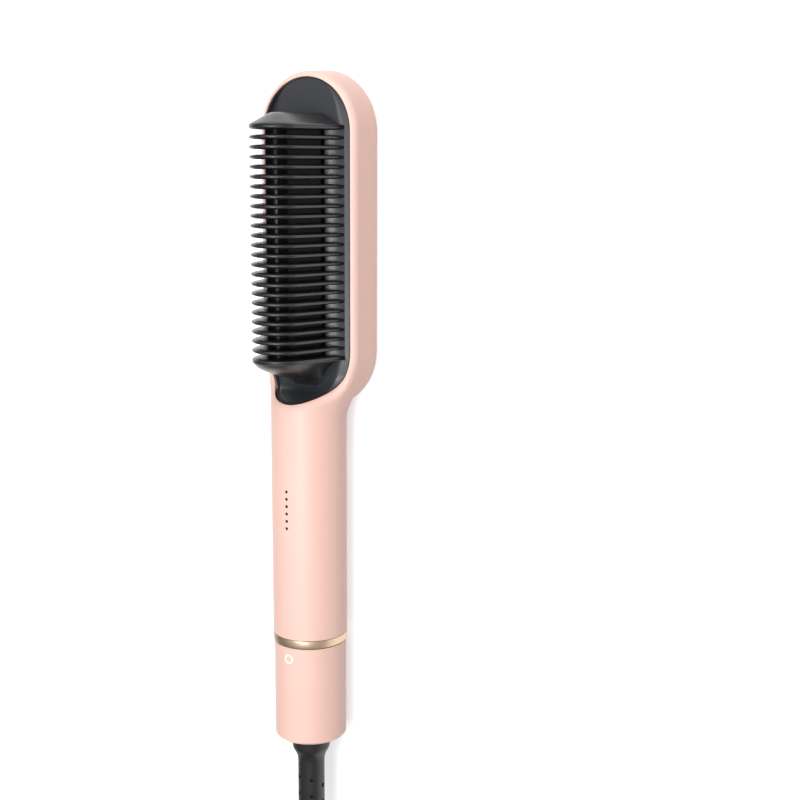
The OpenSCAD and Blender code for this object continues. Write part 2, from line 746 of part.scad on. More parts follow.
// Rotary cap that sets the temperature
module dial_cap() {
    hub_r = stem_r + fit;
    end_wall = dial_end_y + 4.2;
    notch_r = detent_r + 0.35;
    color("#f7cfc0") difference() {
        about_axis() polygon([[dial_r - dial_wall, dial_top_y], [dial_r, dial_top_y],
            [dial_r, dial_end_y + 0.8], [dial_r - 0.8, dial_end_y], [collar_r + 0.4, dial_end_y],
            [collar_r + 0.4, clip_y + clip_t + 0.1], [journal_r + fit, clip_y + clip_t + 0.1],
            [journal_r + fit, end_wall], [hub_r, end_wall], [hub_r, detent_y - notch_r],
            [hub_r + 0.7, detent_y - notch_r], [hub_r + 0.7, detent_y + notch_r], [hub_r, detent_y + notch_r],
            [hub_r, hub_top_y], [hub_r + hub_t, hub_top_y], [hub_r + hub_t, end_wall],
            [dial_r - dial_wall, end_wall]]);
        for (k = [0 : 7]) translate([0, detent_y, axis_z]) rotate([0, dial_step * k, 0])
            cylinder(r = detent_r, h = hub_r + 1.1);
    }
}

// Sprung plate in the dial that runs on the ring board
module dial_wiper() {
    in_r = stem_r + 0.4;
    out_r = bush_r() - 1.2;
    color("#c98a4b") {
        about_axis() translate([in_r, hub_top_y]) square([out_r - in_r, 0.4]);
        for (x = [-out_r, out_r - 1]) translate([x, hub_top_y, axis_z - 0.8])
            cube([0.8, flange_y - board2_t - turn_gap - hub_top_y, 1.6]);
    }
}

// Barrel that lets the lead turn
module swivel_barrel() {
    nose_y = slip_ys[1] + slip_w + 1;
    stub_y = dial_end_y + 12;
    color("#4a4a4a") about_axis() polygon([[1.6, nose_y], [nose_r, nose_y], [nose_r, thrust_y + 2.2],
        [bush_in_r - 0.3, thrust_y + 2.2], [bush_in_r - 0.3, thrust_y + 0.1], [barrel_r, thrust_y + 0.1],
        [barrel_r, collar_y], [stub_r, collar_y], [stub_r, stub_y], [1.6, stub_y]]);
}

module slip_rings() {
    color("goldenrod") for (y = slip_ys) about_axis() translate([nose_r, y - slip_w / 2])
        square([slip_r - nose_r, slip_w]);
}

// Flexible sleeve on the lead
module strain_relief() {
    neck_y = collar_y - 3;
    waist_y = collar_y - 9.6;
    taper_y = relief_end_y + 10;
    rows = [0 : 3];
    first_y = dial_end_y - 19.5;
    // Angle of each column of dimples round the sleeve, and its share of a step along it
    columns = [[6, 0], [65, 0.5], [124, 0], [186, 0.5], [241, 0], [296, 0]];
    front = 32.8;
    color("#2e3030") difference() {
        union() {
            about_axis() difference() {
                polygon([[0, taper_y], [relief_r, taper_y], [relief_r, waist_y], [collar_r, neck_y],
                    [collar_r, collar_y], [stub_r, collar_y], [stub_r, collar_y + 11.6],
                    [0, collar_y + 11.6]]);
                translate([relief_r + 14, waist_y]) circle(14, $fn = 96);
            }
            about_axis() polygon([[0, relief_end_y], [cord_d / 2 + 0.9, relief_end_y], [relief_r, taper_y],
                [0, taper_y]]);
        }
        for (c = columns) for (k = rows) translate([0, first_y - dimple_pitch * (k + c[1]), axis_z])
            rotate([0, front + c[0], 0]) translate([0, 0, relief_r - 1])
                cylinder(d = dimple_d, h = 4, $fn = 24);
    }
}

module cord_lead() {
    color("#222324") tube(lead_line, cord_d, cord_sides);
}

module cord_hank() {
    color("#222324") tube(hank_line, cord_d, hank_sides);
}

// Strap round the hank's waist
module cord_tie() {
    in_x = fold_r + hank_step * (turn_marks[1] - turn_marks[0]) - waist + cord_d / 2 + 0.6;
    top = hank_z + 3 * layer_step + cord_d / 2 + tie_gap;
    color("#333537") translate([hank_x, hank_y - hank_run / 2 - tie_w / 2, 0]) difference() {
        translate([-in_x - tie_t, 0, 0]) cube([2 * (in_x + tie_t), tie_w, top + tie_t]);
        translate([-in_x, -1, tie_t]) cube([2 * in_x, tie_w + 2, top - tie_t]);
    }
}

// Puts its children at the tail's end, with their +Y along the plug, which points away from the body.
module at_plug() {
    translate(tail_path[len(tail_path) - 1]) rotate([0, 0, 180]) children();
}

module plug_body() {
    round_r = plug_t / 2;
    color("#222324") at_plug() {
        rotate([-90, 0, 0]) cylinder(r1 = cord_d / 2 + 0.6, r2 = cord_d / 2 + 2, h = boot_len);
        rotate([-90, 0, 0]) translate([0, 0, boot_len]) linear_extrude(plug_len) {
            square([plug_w - plug_t, plug_t], center = true);
            for (x = [-1, 1]) translate([x * (plug_w / 2 - round_r), 0]) circle(round_r);
        }
    }
}

module plug_pins() {
    tip = 1.5;
    color("silver") at_plug() for (x = [-1, 1]) translate([x * pin_gap / 2, boot_len + plug_len, 0])
        rotate([-90, 0, 0]) {
            cylinder(d = pin_d, h = pin_len - tip);
            translate([0, 0, pin_len - tip]) cylinder(r1 = pin_d / 2, r2 = pin_d / 2 - 0.8, h = tip);
        }
}

main_shell();
back_trim();
back_panel();
front_bezel();
comb_guard();
heating_comb();
heater_element();
heater_insulation();
heater_clamps();
comb_screws();
temp_sensor();
thermal_fuse();
heat_shield();
heater_wires();
bezel_screws();
handle_chassis();
main_board();
control_chip();
board_capacitor();
board_triac();
status_leds();
light_guide();
supply_wires();
dial_wires();
handle_ring();
end_bush();
switch_board();
detent_spring();
detent_ball();
dial_clip();
contact_carrier();
brush_contacts();
dial_cap();
dial_wiper();
swivel_barrel();
slip_rings();
strain_relief();
cord_lead();
cord_hank();
cord_tie();
plug_body();
plug_pins();
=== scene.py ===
# %% [markdown]
# # A hair straightening brush, dressed
# The CAD model gives every piece its place and size. This lesson builds the surfaces that are seen:
# a pink moulded shell, a dark comb, a gilt trim and a black lead. All lengths below are in millimetres.

# %% Load the frame
import json
import math

import bpy
import numpy as np
from mathutils import Euler, Matrix, Vector


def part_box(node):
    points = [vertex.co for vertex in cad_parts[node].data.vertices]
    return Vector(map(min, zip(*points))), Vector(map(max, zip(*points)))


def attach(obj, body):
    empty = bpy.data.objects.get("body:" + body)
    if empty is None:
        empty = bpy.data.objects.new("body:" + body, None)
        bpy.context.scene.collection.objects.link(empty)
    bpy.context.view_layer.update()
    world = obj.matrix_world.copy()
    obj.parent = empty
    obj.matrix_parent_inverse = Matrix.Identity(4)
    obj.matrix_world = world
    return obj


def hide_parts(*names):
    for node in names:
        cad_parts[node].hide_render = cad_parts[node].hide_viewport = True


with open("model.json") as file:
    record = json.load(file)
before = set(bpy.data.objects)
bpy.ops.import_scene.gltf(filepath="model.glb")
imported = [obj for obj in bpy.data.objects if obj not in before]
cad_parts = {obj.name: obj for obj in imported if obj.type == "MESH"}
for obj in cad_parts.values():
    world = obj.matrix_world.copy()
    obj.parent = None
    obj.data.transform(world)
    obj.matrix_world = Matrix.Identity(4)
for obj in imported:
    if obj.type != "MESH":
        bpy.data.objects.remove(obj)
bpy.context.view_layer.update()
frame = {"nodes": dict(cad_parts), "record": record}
MM = 0.001
bpy.ops.object.select_all(action="DESELECT")


# %% A node's box in millimetres
def node_box(node):
    return [[round(v / MM, 2) for v in corner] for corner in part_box(node)]


shell_low, shell_high = node_box("main_shell")
print("shell from", shell_low, "to", shell_high)

# %% [markdown]
# ## The camera
# The photograph looks down on the comb from its right and a little from the head's end.
# Three angles and a place fix the view; the lens gives about 2.5 pixels a millimetre.

# %% Camera
CAMERA_TURN = (-10.190, 32.819, 0.352)  # degrees about X, then Y, then Z
EYE = (307.8, 99.9, 426.4)
LENS, SENSOR = 59.2, 36

camera = bpy.data.objects.new("camera", bpy.data.cameras.new("camera"))
bpy.context.scene.collection.objects.link(camera)
camera.data.lens = LENS
camera.data.sensor_width = SENSOR
camera.data.clip_start = 0.01
turn = Euler([math.radians(a) for a in CAMERA_TURN]).to_matrix().to_4x4()
camera.matrix_world = Matrix.Translation(Vector(EYE) * MM) @ turn
bpy.context.scene.camera = camera
bpy.context.scene.view_settings.view_transform = "Standard"
print("camera", round(Vector(EYE).length), "mm from the origin")

# %% [markdown]
# ## Colours and nodes
# Screen colours are written as hex and shaders want linear light, so one function turns them.
# One more adds a node with its settings and links, which keeps every material short.


# %% Two small helpers
def linear(code, alpha=1.0):
    """The sRGB curve, undone for each of the three channels."""
    parts = [int(code[i : i + 2], 16) / 255 for i in (0, 2, 4)]
    return [p / 12.92 if p <= 0.04045 else ((p + 0.055) / 1.055) ** 2.4 for p in parts] + [alpha]


def add_node(tree, kind, settings=(), values=(), links=()):
    new = tree.nodes.new(kind)
    for key, value in dict(settings).items():
        setattr(new, key, value)
    for key, value in dict(values).items():
        new.inputs[key].default_value = value
    for key, source in dict(links).items():
        tree.links.new(source, new.inputs[key])
    return new


# %% [markdown]
# ## Moulded, coated and plated finishes
# Most surfaces here are satin: a colour, a sheen and a fine grain from the tool that shaped them.
# The grain is noise on Object coordinates, sized in millimetres, that bends the light a little and
# shifts the roughness. A second, much wider noise shifts the tone, so no face is one flat colour.
# Real spark erosion and blasting are finer than 0.2 mm, so their grain is drawn coarser, to show.

# %% A finish with a fine grain
NOISE_LOW, NOISE_HIGH = 0.3, 0.7  # nearly all of the noise lies between these
CLOUD_SCALE = 45.0  # one soft cloud of tone every 22 mm
SHEEN_SPREAD, BUMP_STRENGTH = 0.05, 0.35


def grained(name, colour, rough, grain, depth, shift=0.03, **shader):
    """Grain and depth are the grain's width and height in millimetres, shift is its change of tone."""
    material = bpy.data.materials.new(name)
    material.use_nodes = True
    tree = material.node_tree
    surface = tree.nodes["Principled BSDF"]
    for key, value in shader.items():
        surface.inputs[key.replace("_", " ")].default_value = value
    noise_range = {"From Min": NOISE_LOW, "From Max": NOISE_HIGH}
    place = add_node(tree, "ShaderNodeTexCoord")
    speck = add_node(tree, "ShaderNodeTexNoise", values={"Scale": 1 / (grain * MM), "Detail": 2.0},
                     links={"Vector": place.outputs["Object"]})
    cloud = add_node(tree, "ShaderNodeTexNoise", values={"Scale": CLOUD_SCALE, "Detail": 3.0},
                     links={"Vector": place.outputs["Object"]})
    tone = add_node(tree, "ShaderNodeMapRange",
                    values={**noise_range, "To Min": 1 - shift, "To Max": 1 + shift},
                    links={"Value": cloud.outputs["Fac"]})
    tint = add_node(tree, "ShaderNodeHueSaturation", values={"Color": linear(colour)},
                    links={"Value": tone.outputs["Result"]})
    gloss = add_node(tree, "ShaderNodeMapRange",
                     values={**noise_range, "To Min": rough - SHEEN_SPREAD, "To Max": rough + SHEEN_SPREAD},
                     links={"Value": speck.outputs["Fac"]})
    bump = add_node(tree, "ShaderNodeBump", values={"Strength": BUMP_STRENGTH, "Distance": depth * MM},
                    links={"Height": speck.outputs["Fac"]})
    tree.links.new(tint.outputs["Color"], surface.inputs["Base Color"])
    tree.links.new(gloss.outputs["Result"], surface.inputs["Roughness"])
    tree.links.new(bump.outputs["Normal"], surface.inputs["Normal"])
    return material


# %% [markdown]
# ### What is seen from outside
# Each finish is named for the real one, under its slot in the record. The numbers after the colour
# are the roughness, the grain's width, the grain's height and the change of tone.

# %% The finishes that show
FINISHES = {
    # Satin painted ABS: broad soft highlights with no hard edge
    "shell": grained("painted_abs", "F4CABD", 0.42, 0.35, 0.010, 0.01, IOR=1.5),
    # Vacuum plated band, satin blasted: the sheen of metal with no mirror in it
    "trim_metal": grained("satin_gilt", "CDB69E", 0.42, 0.25, 0.006, 0.02, Metallic=1.0),
    # Charcoal ABS, spark eroded: a dark grey that mirrors the sky as a soft blur
    "dark_panel": grained("charcoal_abs", "34363A", 0.30, 0.3, 0.008, 0.02, IOR=1.52),
    # Heat proof nylon, nearly black: each blade's round edge holds one thin light line
    "comb_plastic": grained("heat_proof_nylon", "202124", 0.30, 0.3, 0.008, 0.03, IOR=1.55),
    # Baked ceramic coating: black and glossy, and darker than the blades in front of it
    "comb_coating": grained("ceramic_coating", "050506", 0.13, 0.6, 0.004, 0.02, IOR=1.6,
                            Specular_IOR_Level=0.05),
    # Smoked acrylic: six small pegs that look nearly black while the lights are off
    "clear_guide": grained("smoked_acrylic", "3A2A28", 0.12, 0.6, 0.004, 0.02, IOR=1.49),
    # Soft PVC: dull and faintly uneven from the extruder
    "cord_rubber": grained("soft_pvc", "1B1C1D", 0.44, 0.5, 0.012, 0.05),
    # Hook and loop tape: a matt, coarse pile that takes no highlight
    "tie_fabric": grained("hook_and_loop", "26282B", 0.85, 0.45, 0.120, 0.12),
    # Black ABS of the plug: satin, with a wide dim highlight
    "black_plastic": grained("black_abs", "232425", 0.42, 0.3, 0.010, 0.03),
    # Nickel plated brass: bright and a little warm
    "plated_pins": grained("nickel_plating", "CFCDC6", 0.18, 0.6, 0.004, 0.03, Metallic=1.0),
}

# %% [markdown]
# ### What is found inside
# The works are hidden in the photograph, but whoever opens the shell should see what they are made
# of: bare and plated metal, film, mica, wire insulation and a lacquered board.

# %% The finishes of the works
FINISHES.update({
    # Alumina: white, dry and chalky
    "ceramic_white": grained("alumina", "E8E4DA", 0.55, 0.4, 0.020, 0.03),
    # Polyimide film: amber, with a smooth gloss
    "amber_film": grained("polyimide_film", "B9741F", 0.25, 1.2, 0.006, 0.05),
    # Rolled aluminium: pale metal with a soft sheen
    "aluminium": grained("rolled_aluminium", "C9CBCE", 0.35, 0.3, 0.008, 0.03, Metallic=1.0),
    # Zinc plated steel: cooler and a little darker than the aluminium
    "steel": grained("zinc_plated_steel", "B9BDC1", 0.30, 0.4, 0.006, 0.04, Metallic=1.0),
    # Mica sheet: a flaky, pearly tan
    "mica": grained("mica_sheet", "B7A98E", 0.35, 2.0, 0.030, 0.08),
    # Silicone on the wires: an even colour with a waxy sheen
    "wire_red": grained("silicone_red", "B0302A", 0.45, 0.5, 0.010, 0.04),
    "wire_blue": grained("silicone_blue", "2F4F9E", 0.45, 0.5, 0.010, 0.04),
    "wire_yellow": grained("silicone_yellow", "D8B43A", 0.45, 0.5, 0.010, 0.04),
    # Natural nylon: off-white and slightly waxy
    "inner_plastic": grained("natural_nylon", "D8D2C4", 0.45, 0.5, 0.012, 0.03),
    # Solder mask: a green lacquer over a woven board, so it is glossy and faintly uneven
    "circuit_board": grained("solder_mask", "1E6B43", 0.35, 0.8, 0.020, 0.06),
    # Moulded epoxy: a dull black
    "chip_black": grained("moulded_epoxy", "1B1C1E", 0.55, 0.2, 0.015, 0.04),
    # Shrink sleeve: tight, smooth and shiny
    "capacitor_sleeve": grained("shrink_sleeve", "2B3350", 0.28, 0.8, 0.006, 0.04),
    # Lens of a light that is off: milky white
    "led_white": grained("led_lens", "F2F1EC", 0.20, 0.6, 0.004, 0.02),
    # Pressed brass: yellow, smooth metal
    "brass": grained("pressed_brass", "C7A24E", 0.28, 0.4, 0.006, 0.05, Metallic=1.0),
})
NODE_SLOTS = {part["node"]: part["material_slot"] for part in frame["record"]["subparts"]}
for node, slot in NODE_SLOTS.items():
    frame["nodes"][node].data.materials.clear()
    frame["nodes"][node].data.materials.append(FINISHES[slot])
print("finishes", len(FINISHES), "nodes dressed", len(NODE_SLOTS))

# %% [markdown]
# ## Finishing a piece
# Every piece ends the same way: its place goes into its mesh, it rides on a body, it takes a slot's
# finish, and the CAD nodes it stands for are hidden. Edges sharper than an angle stay crisp.


# %% Helpers for pieces
def take(piece):
    """Select one piece alone, since an operator acts on all that is selected."""
    bpy.ops.object.select_all(action="DESELECT")
    piece.select_set(True)
    bpy.context.view_layer.objects.active = piece
    return piece


def finish_piece(piece, name, slot, replaces=(), body="root", angle=30):
    take(piece)
    piece.name = piece.data.name = name
    bpy.ops.object.transform_apply(location=True, rotation=True, scale=True)
    piece.data.materials.clear()
    piece.data.materials.append(FINISHES[slot])
    bpy.ops.object.shade_smooth_by_angle(angle=math.radians(angle))
    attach(piece, body)
    if replaces:
        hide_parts(*replaces)
    piece.select_set(False)
    print(name, len(piece.data.vertices), "points")
    return piece


def join(pieces):
    take(pieces[0])
    for piece in pieces:
        piece.select_set(True)
    bpy.ops.object.join()
    return bpy.context.object


# %% [markdown]
# ## A skin over sections
# A moulding whose section changes along its length is lofted. Bridging edge loops would join two
# sections at a time; a grid joins them all at once. It gets one row for each section: its points
# are moved out to the sections, the seam where a row closes is merged, and open ends are filled.


# %% Fill what is open and turn the faces outwards
def close_up(piece):
    take(piece)
    bpy.ops.object.mode_set(mode="EDIT")
    bpy.ops.mesh.select_all(action="DESELECT")
    bpy.ops.mesh.select_non_manifold()
    bpy.ops.mesh.edge_face_add()
    bpy.ops.mesh.select_all(action="SELECT")
    bpy.ops.mesh.normals_make_consistent(inside=False)
    bpy.ops.object.mode_set(mode="OBJECT")
    return piece


# %% Loft a grid over rows of points
MERGE = 0.002  # points closer than this become one


def loft(rows, closed=False, ends=False):
    """Closed joins each row's last point to its first; ends fills the first and the last row."""
    rows = np.asarray(rows, dtype=float)
    if closed:
        rows = np.concatenate([rows, rows[:, :1]], axis=1)
    tall, wide = rows.shape[:2]
    bpy.ops.object.select_all(action="DESELECT")
    bpy.ops.mesh.primitive_grid_add(x_subdivisions=wide - 1, y_subdivisions=tall - 1, size=2)
    skin = bpy.context.object
    for point in skin.data.vertices:
        i = round((point.co.y + 1) / 2 * (tall - 1))
        j = round((point.co.x + 1) / 2 * (wide - 1))
        point.co = Vector(rows[i, j]) * MM
    bpy.ops.object.mode_set(mode="EDIT")
    bpy.ops.mesh.select_all(action="SELECT")
    bpy.ops.mesh.remove_doubles(threshold=MERGE * MM)
    if not ends:
        bpy.ops.mesh.normals_make_consistent(inside=False)
    bpy.ops.object.mode_set(mode="OBJECT")
    return close_up(skin) if ends else skin


def around(count):
    """Angles once round a circle, without the last, which would lie on the first."""
    return np.linspace(0, 2 * math.pi, count, endpoint=False)


def carve(piece, cutter):
    """Cut the piece with a closed cutter, which is used up."""
    take(piece)
    cut = piece.modifiers.new("cut", "BOOLEAN")
    cut.operation = "DIFFERENCE"
    cut.solver = "EXACT"
    cut.object = cutter
    bpy.ops.object.modifier_apply(modifier="cut")
    bpy.data.objects.remove(cutter)
    return piece


# %% [markdown]
# ## The mains lead
# The real lead is 1.8 m of soft PVC, 5.5 mm thick, and keeps a bend of a few diameters. The picture
# shows only its strain relief, so the rest is folded into a hank under a strap, below the frame.
# The route repeats the CAD model's points. A simulation could lay it too, but a chosen route is the
# same on each run. A curve through the points makes its bends rounder.

# %% The route of the lead
CORD_D = 5.5
LEAD = [(0, -186, 15), (0, -192, 15), (0.6, -198, 14.7), (2.3, -204, 13.6), (5.7, -210, 11.5),
        (9.2, -214, 9.3), (12.8, -218, 7.1), (16.1, -224, 5.1), (17.9, -230, 4), (18.475, -236, 3.65)]
TAIL = [(16.9, -251, 22.1), (16.4, -257, 23.7), (14.9, -263, 26), (12.2, -269, 28.2), (8.6, -274.5, 29.9),
        (4.7, -280, 31), (0.9, -286, 31.6), (-2.4, -292, 31.7), (-4.4, -298, 31.7), (-5, -304, 31.7),
        (-5, -309, 31.7)]
HANK_X, HANK_Y, HANK_Z = -5, -246, 3.65
FOLD_R = 3 * CORD_D  # the tightest bend, three thicknesses
HANK_STEP, HANK_RUN, LAYER = 6.2, 102, 6
WAIST = 5  # the strap draws the legs in by this much
TURNS, RINGS = 5, 24
MARKS = (1.125, 2.625, 4.125)  # turns at which the spiral changes its way and climbs a layer
CLIMB = 0.25  # share of a turn that a climb takes


# %% The hank, worked out turn by turn
def reach(turns):
    """How far the spiral stands from its middle: in, out, in and out again between the marks."""
    inner, outer, last = MARKS
    spiral = np.interp(turns, (0, inner, outer, last, TURNS), (inner, 0, outer - inner, 0, TURNS - last))
    return FOLD_R + HANK_STEP * spiral


def level(turns):
    climbed = [min(max((turns - mark) / CLIMB + 0.5, 0), 1) for mark in MARKS]
    return HANK_Z + LAYER * sum((1 - math.cos(math.pi * share)) / 2 for share in climbed)


def hank_point(turns):
    """Each turn is a leg down, a fold, a leg up and a fold."""
    quarter, share = divmod((turns - math.floor(turns)) * 4, 1)
    out = reach(turns)
    drawn = WAIST * (1 - math.cos(2 * math.pi * share)) / 2
    cross = math.cos(math.pi * share)
    bulge = math.sin(math.pi * share)
    x, y = [(out - drawn, -HANK_RUN * share), (out * cross, -HANK_RUN - out * bulge),
            (drawn - out, -HANK_RUN * (1 - share)), (-out * cross, out * bulge)][int(quarter)]
    return (HANK_X + x, HANK_Y + y, level(turns))


first = hank_point(0)
ROUTE = LEAD + [(first[0], first[1] + CORD_D + 0.5, first[2])]
ROUTE += [hank_point(i / RINGS) for i in range(RINGS * TURNS + 1)] + TAIL
print("route", len(ROUTE), "points")

# %% [markdown]
# ### A round jacket on a smooth line
# The route's points stand 4 to 17 mm apart. A cubic through each pair, steered by their neighbours,
# passes through every point without a kink. The jacket is the curve's own round bevel, so the lead
# stays a curve that can be measured, and its thickness is the same all along.


# %% The lead
def smooth_line(points, pieces=5):
    """A cubic for each piece; the ends are carried on straight, to steer the first and the last."""
    p = [Vector(q) for q in points]
    p = [2 * p[0] - p[1]] + p + [2 * p[-1] - p[-2]]
    line = []
    for a, b, c, d in zip(p, p[1:], p[2:], p[3:]):
        for k in range(pieces):
            t = k / pieces
            line.append(0.5 * (2 * b + (c - a) * t + (2 * a - 5 * b + 4 * c - d) * t * t
                               + (3 * b - a - 3 * c + d) * t ** 3))
    return line + [p[-2]]


centre_line = smooth_line(ROUTE)
cord_curve = bpy.data.curves.new("supply_cord", "CURVE")
cord_curve.dimensions = "3D"
cord_curve.bevel_depth = CORD_D / 2 * MM
cord_curve.bevel_resolution = 4
cord_curve.use_fill_caps = True
spline = cord_curve.splines.new("POLY")
spline.points.add(len(centre_line) - 1)
for place, point in zip(spline.points, centre_line):
    place.co = (*(point * MM), 1)
spline.use_smooth = True
cord = bpy.data.objects.new("supply_cord", cord_curve)
bpy.context.scene.collection.objects.link(cord)
cord_curve.materials.append(FINISHES["cord_rubber"])
cord_length = sum((b - a).length for a, b in zip(centre_line, centre_line[1:]))
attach(cord, "root")
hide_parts("cord_lead", "cord_hank")
print("lead", round(cord_length, 1), "mm")

# %% [markdown]
# ## Floor and light
# The brush lies on a white sheet. The sheet gives its own white to the camera and to glossy
# surfaces, so no lamp has to burn it white, and it still takes the soft shadow. To the brush it is
# greyer, as a sheet in its shade would be. From below it is clear, so the back can be looked at.

# %% Floor
FLOOR_SIZE, FLOOR_DROP = 24, 0.15  # metres across, and millimetres under the back
GLOW = 0.5

bpy.ops.mesh.primitive_plane_add(size=FLOOR_SIZE, location=(0, 0, -FLOOR_DROP * MM))
floor = bpy.context.object
floor.name = "floor"
paper = bpy.data.materials.new("white_paper")
paper.use_nodes = True
tree = paper.node_tree
paper_surface = tree.nodes["Principled BSDF"]
paper_surface.inputs["Roughness"].default_value = 0.9
rays = add_node(tree, "ShaderNodeLightPath")
seen = add_node(tree, "ShaderNodeMath", {"operation": "MAXIMUM"},
                links={0: rays.outputs["Is Camera Ray"], 1: rays.outputs["Is Glossy Ray"]})
lift = add_node(tree, "ShaderNodeMath", {"operation": "MULTIPLY"}, {1: GLOW}, {0: seen.outputs[0]})
tone = add_node(tree, "ShaderNodeMix", {"data_type": "RGBA"}, {6: linear("A8A8A8"), 7: linear("F4F4F4")},
                {0: seen.outputs[0]})
tree.links.new(tone.outputs[2], paper_surface.inputs["Base Color"])
paper_surface.inputs["Emission Color"].default_value = (1, 1, 1, 1)
tree.links.new(lift.outputs[0], paper_surface.inputs["Emission Strength"])
side = add_node(tree, "ShaderNodeNewGeometry")
clear = add_node(tree, "ShaderNodeBsdfTransparent")
either = add_node(tree, "ShaderNodeMixShader",
                  links={0: side.outputs["Backfacing"], 1: paper_surface.outputs[0], 2: clear.outputs[0]})
tree.links.new(either.outputs[0], tree.nodes["Material Output"].inputs["Surface"])
floor.data.materials.append(paper)
print("floor", FLOOR_SIZE, "m across")

# %% [markdown]
# ### Sky and soft boxes
# An even sky would light the handle flat. This one is brightest almost overhead, a little to the
# camera's side, and dim towards the horizon, so both edges of the handle turn darker. Four soft boxes
# add to it: a broad one over the middle, one from the head's end for the comb's upper hood, one
# along the handle, and a narrow one for the thin lines on the blades.

# %% Sky
BRIGHT_WAY = (0.30, 0.15, 0.942)
SKY_DIM, SKY_BRIGHT = 0.16, 0.72

world = bpy.data.worlds.new("studio")
bpy.context.scene.world = world
world.use_nodes = True
sky = world.node_tree
heading = add_node(sky, "ShaderNodeTexCoord")
toward = add_node(sky, "ShaderNodeVectorMath", {"operation": "DOT_PRODUCT"}, {1: BRIGHT_WAY},
                  {0: heading.outputs["Generated"]})
fade = add_node(sky, "ShaderNodeMapRange",
                values={"From Min": 0, "From Max": 1, "To Min": SKY_DIM, "To Max": SKY_BRIGHT},
                links={"Value": toward.outputs["Value"]})
sky.nodes["Background"].inputs["Color"].default_value = (1, 1, 1, 1)
eye_ray = add_node(sky, "ShaderNodeLightPath")
# The camera itself sees a plain white
seen_white = add_node(sky, "ShaderNodeMath", {"operation": "MAXIMUM"},
                      links={0: fade.outputs["Result"], 1: eye_ray.outputs["Is Camera Ray"]})
sky.links.new(seen_white.outputs[0], sky.nodes["Background"].inputs["Strength"])
print("sky from", SKY_DIM, "to", SKY_BRIGHT)


# %% Soft boxes
def soft_box(name, place, target, size, power):
    lamp = bpy.data.lights.new(name, "AREA")
    lamp.shape = "RECTANGLE"
    lamp.size = size[0] * MM
    lamp.size_y = size[1] * MM
    lamp.energy = power
    holder = bpy.data.objects.new(name, lamp)
    bpy.context.scene.collection.objects.link(holder)
    holder.location = Vector(place) * MM
    holder.rotation_euler = (Vector(target) - Vector(place)).to_track_quat("-Z", "Y").to_euler()
    print(name, power, "W")
    return holder


soft_box("key", (70, 180, 760), (0, 20, 15), (420, 420), 1.1)
soft_box("head_end", (20, 640, 380), (0, 110, 30), (760, 300), 2.4)
soft_box("overhead", (140, -70, 690), (10, 60, 15), (180, 420), 1.8)
soft_box("spark", (120, 60, 700), (0, 60, 30), (14, 60), 0.25)

# %% [markdown]
# ## The shell: head, neck and handle
# The real shell is one moulding: a flat head with round ends that flows into a round handle. A head
# slab and a handle joined with a boolean would meet in a hard line, so each section is taken from a
# blended shape: two solids are mixed where they meet, with a fillet that is wide at mid height.

# %% Sizes of the shell
HEAD_R = shell_high[0]
HEAD_HIGH = shell_high[1] - HEAD_R
HEAD_LOW = 26  # here and at HEAD_HIGH are the centres of the head's two round ends
HEAD_T, FRONT_LIFT = 15.7, 0.02
HANDLE_END = shell_low[1]
HANDLE_R = node_box("handle_ring")[1][0]
AXIS_Z = HANDLE_R  # the handle lies on the same plane as the head's back
BACK_ROUND, FRONT_ROUND, BACK_EDGE, HANDLE_TIP_ROUND = 2.6, 2.5, 0.2, 4
SIDE_DRAFT, DRAFT_LOW, DRAFT_RISE = 0.06, 2.3, 12.1
FILLET_Z, FILLET_R = (1, 8, 12, 16), (1.2, 8.0, 8.0, 7.0)  # the neck's fillet at four heights
SWEEP_R, SWEEP_Y, SWEEP_TILT = 8, 17.4, math.radians(66)
SWEEP_Z = HEAD_T + FRONT_LIFT + SWEEP_R
HEAD_SPARE = 2  # the head starts this much too thick, and the sweep trims it to HEAD_T


# %% Two solids joined or crossed with a round of a given radius
def round_max(a, b, r):
    inside = np.minimum(np.maximum(a, b), -r)
    return inside + np.hypot(np.maximum(a + r, 0), np.maximum(b + r, 0))


def round_min(a, b, r):
    return np.maximum(np.minimum(a, b), r) - np.hypot(np.maximum(r - a, 0), np.maximum(r - b, 0))


# %% The sweep from the head's rim to the front of the handle
def before_sweep(y, z):
    """Distance in front of the flat front, the hollow arc after it and the ramp after that."""
    from_y, from_z = y - SWEEP_Y, z - SWEEP_Z
    a = np.clip(np.arctan2(-from_y, -from_z), 0, SWEEP_TILT)
    a = np.where((from_z > 0) & (from_y > 0), 0, a)
    return SWEEP_R + from_y * np.sin(a) + from_z * np.cos(a)


# %% Distance to the shell's skin
def shell_skin(x, y, z):
    to_side = np.hypot(x, y - np.clip(y, HEAD_LOW, HEAD_HIGH)) - HEAD_R
    to_side = to_side + SIDE_DRAFT * np.clip(z - DRAFT_LOW, 0, DRAFT_RISE)
    head = round_max(round_max(to_side, -z, BACK_ROUND), z - HEAD_T - HEAD_SPARE, FRONT_ROUND)
    handle = round_max(np.hypot(x, z - AXIS_Z) - HANDLE_R, y - HEAD_LOW, HANDLE_TIP_ROUND)
    body = round_max(round_min(head, handle, np.interp(z, FILLET_Z, FILLET_R)), -z, BACK_EDGE)
    return round_max(body, before_sweep(y, z), FRONT_ROUND)


# %% [markdown]
# ### Sections from the blended shape
# A section is found with rays from its middle: each ray is halved again and again until it ends on
# the skin. The points are then spread along it by length and by bend, so the rounds get more.

# %% One section
HEAD_MID_Z, MID_FALLS = 7.8, (2, 14)  # between these two places on Y the middle leaves the axis
RAYS, HALVINGS, FAR, BEND_SHARE = 721, 40, 40.0, 1.1


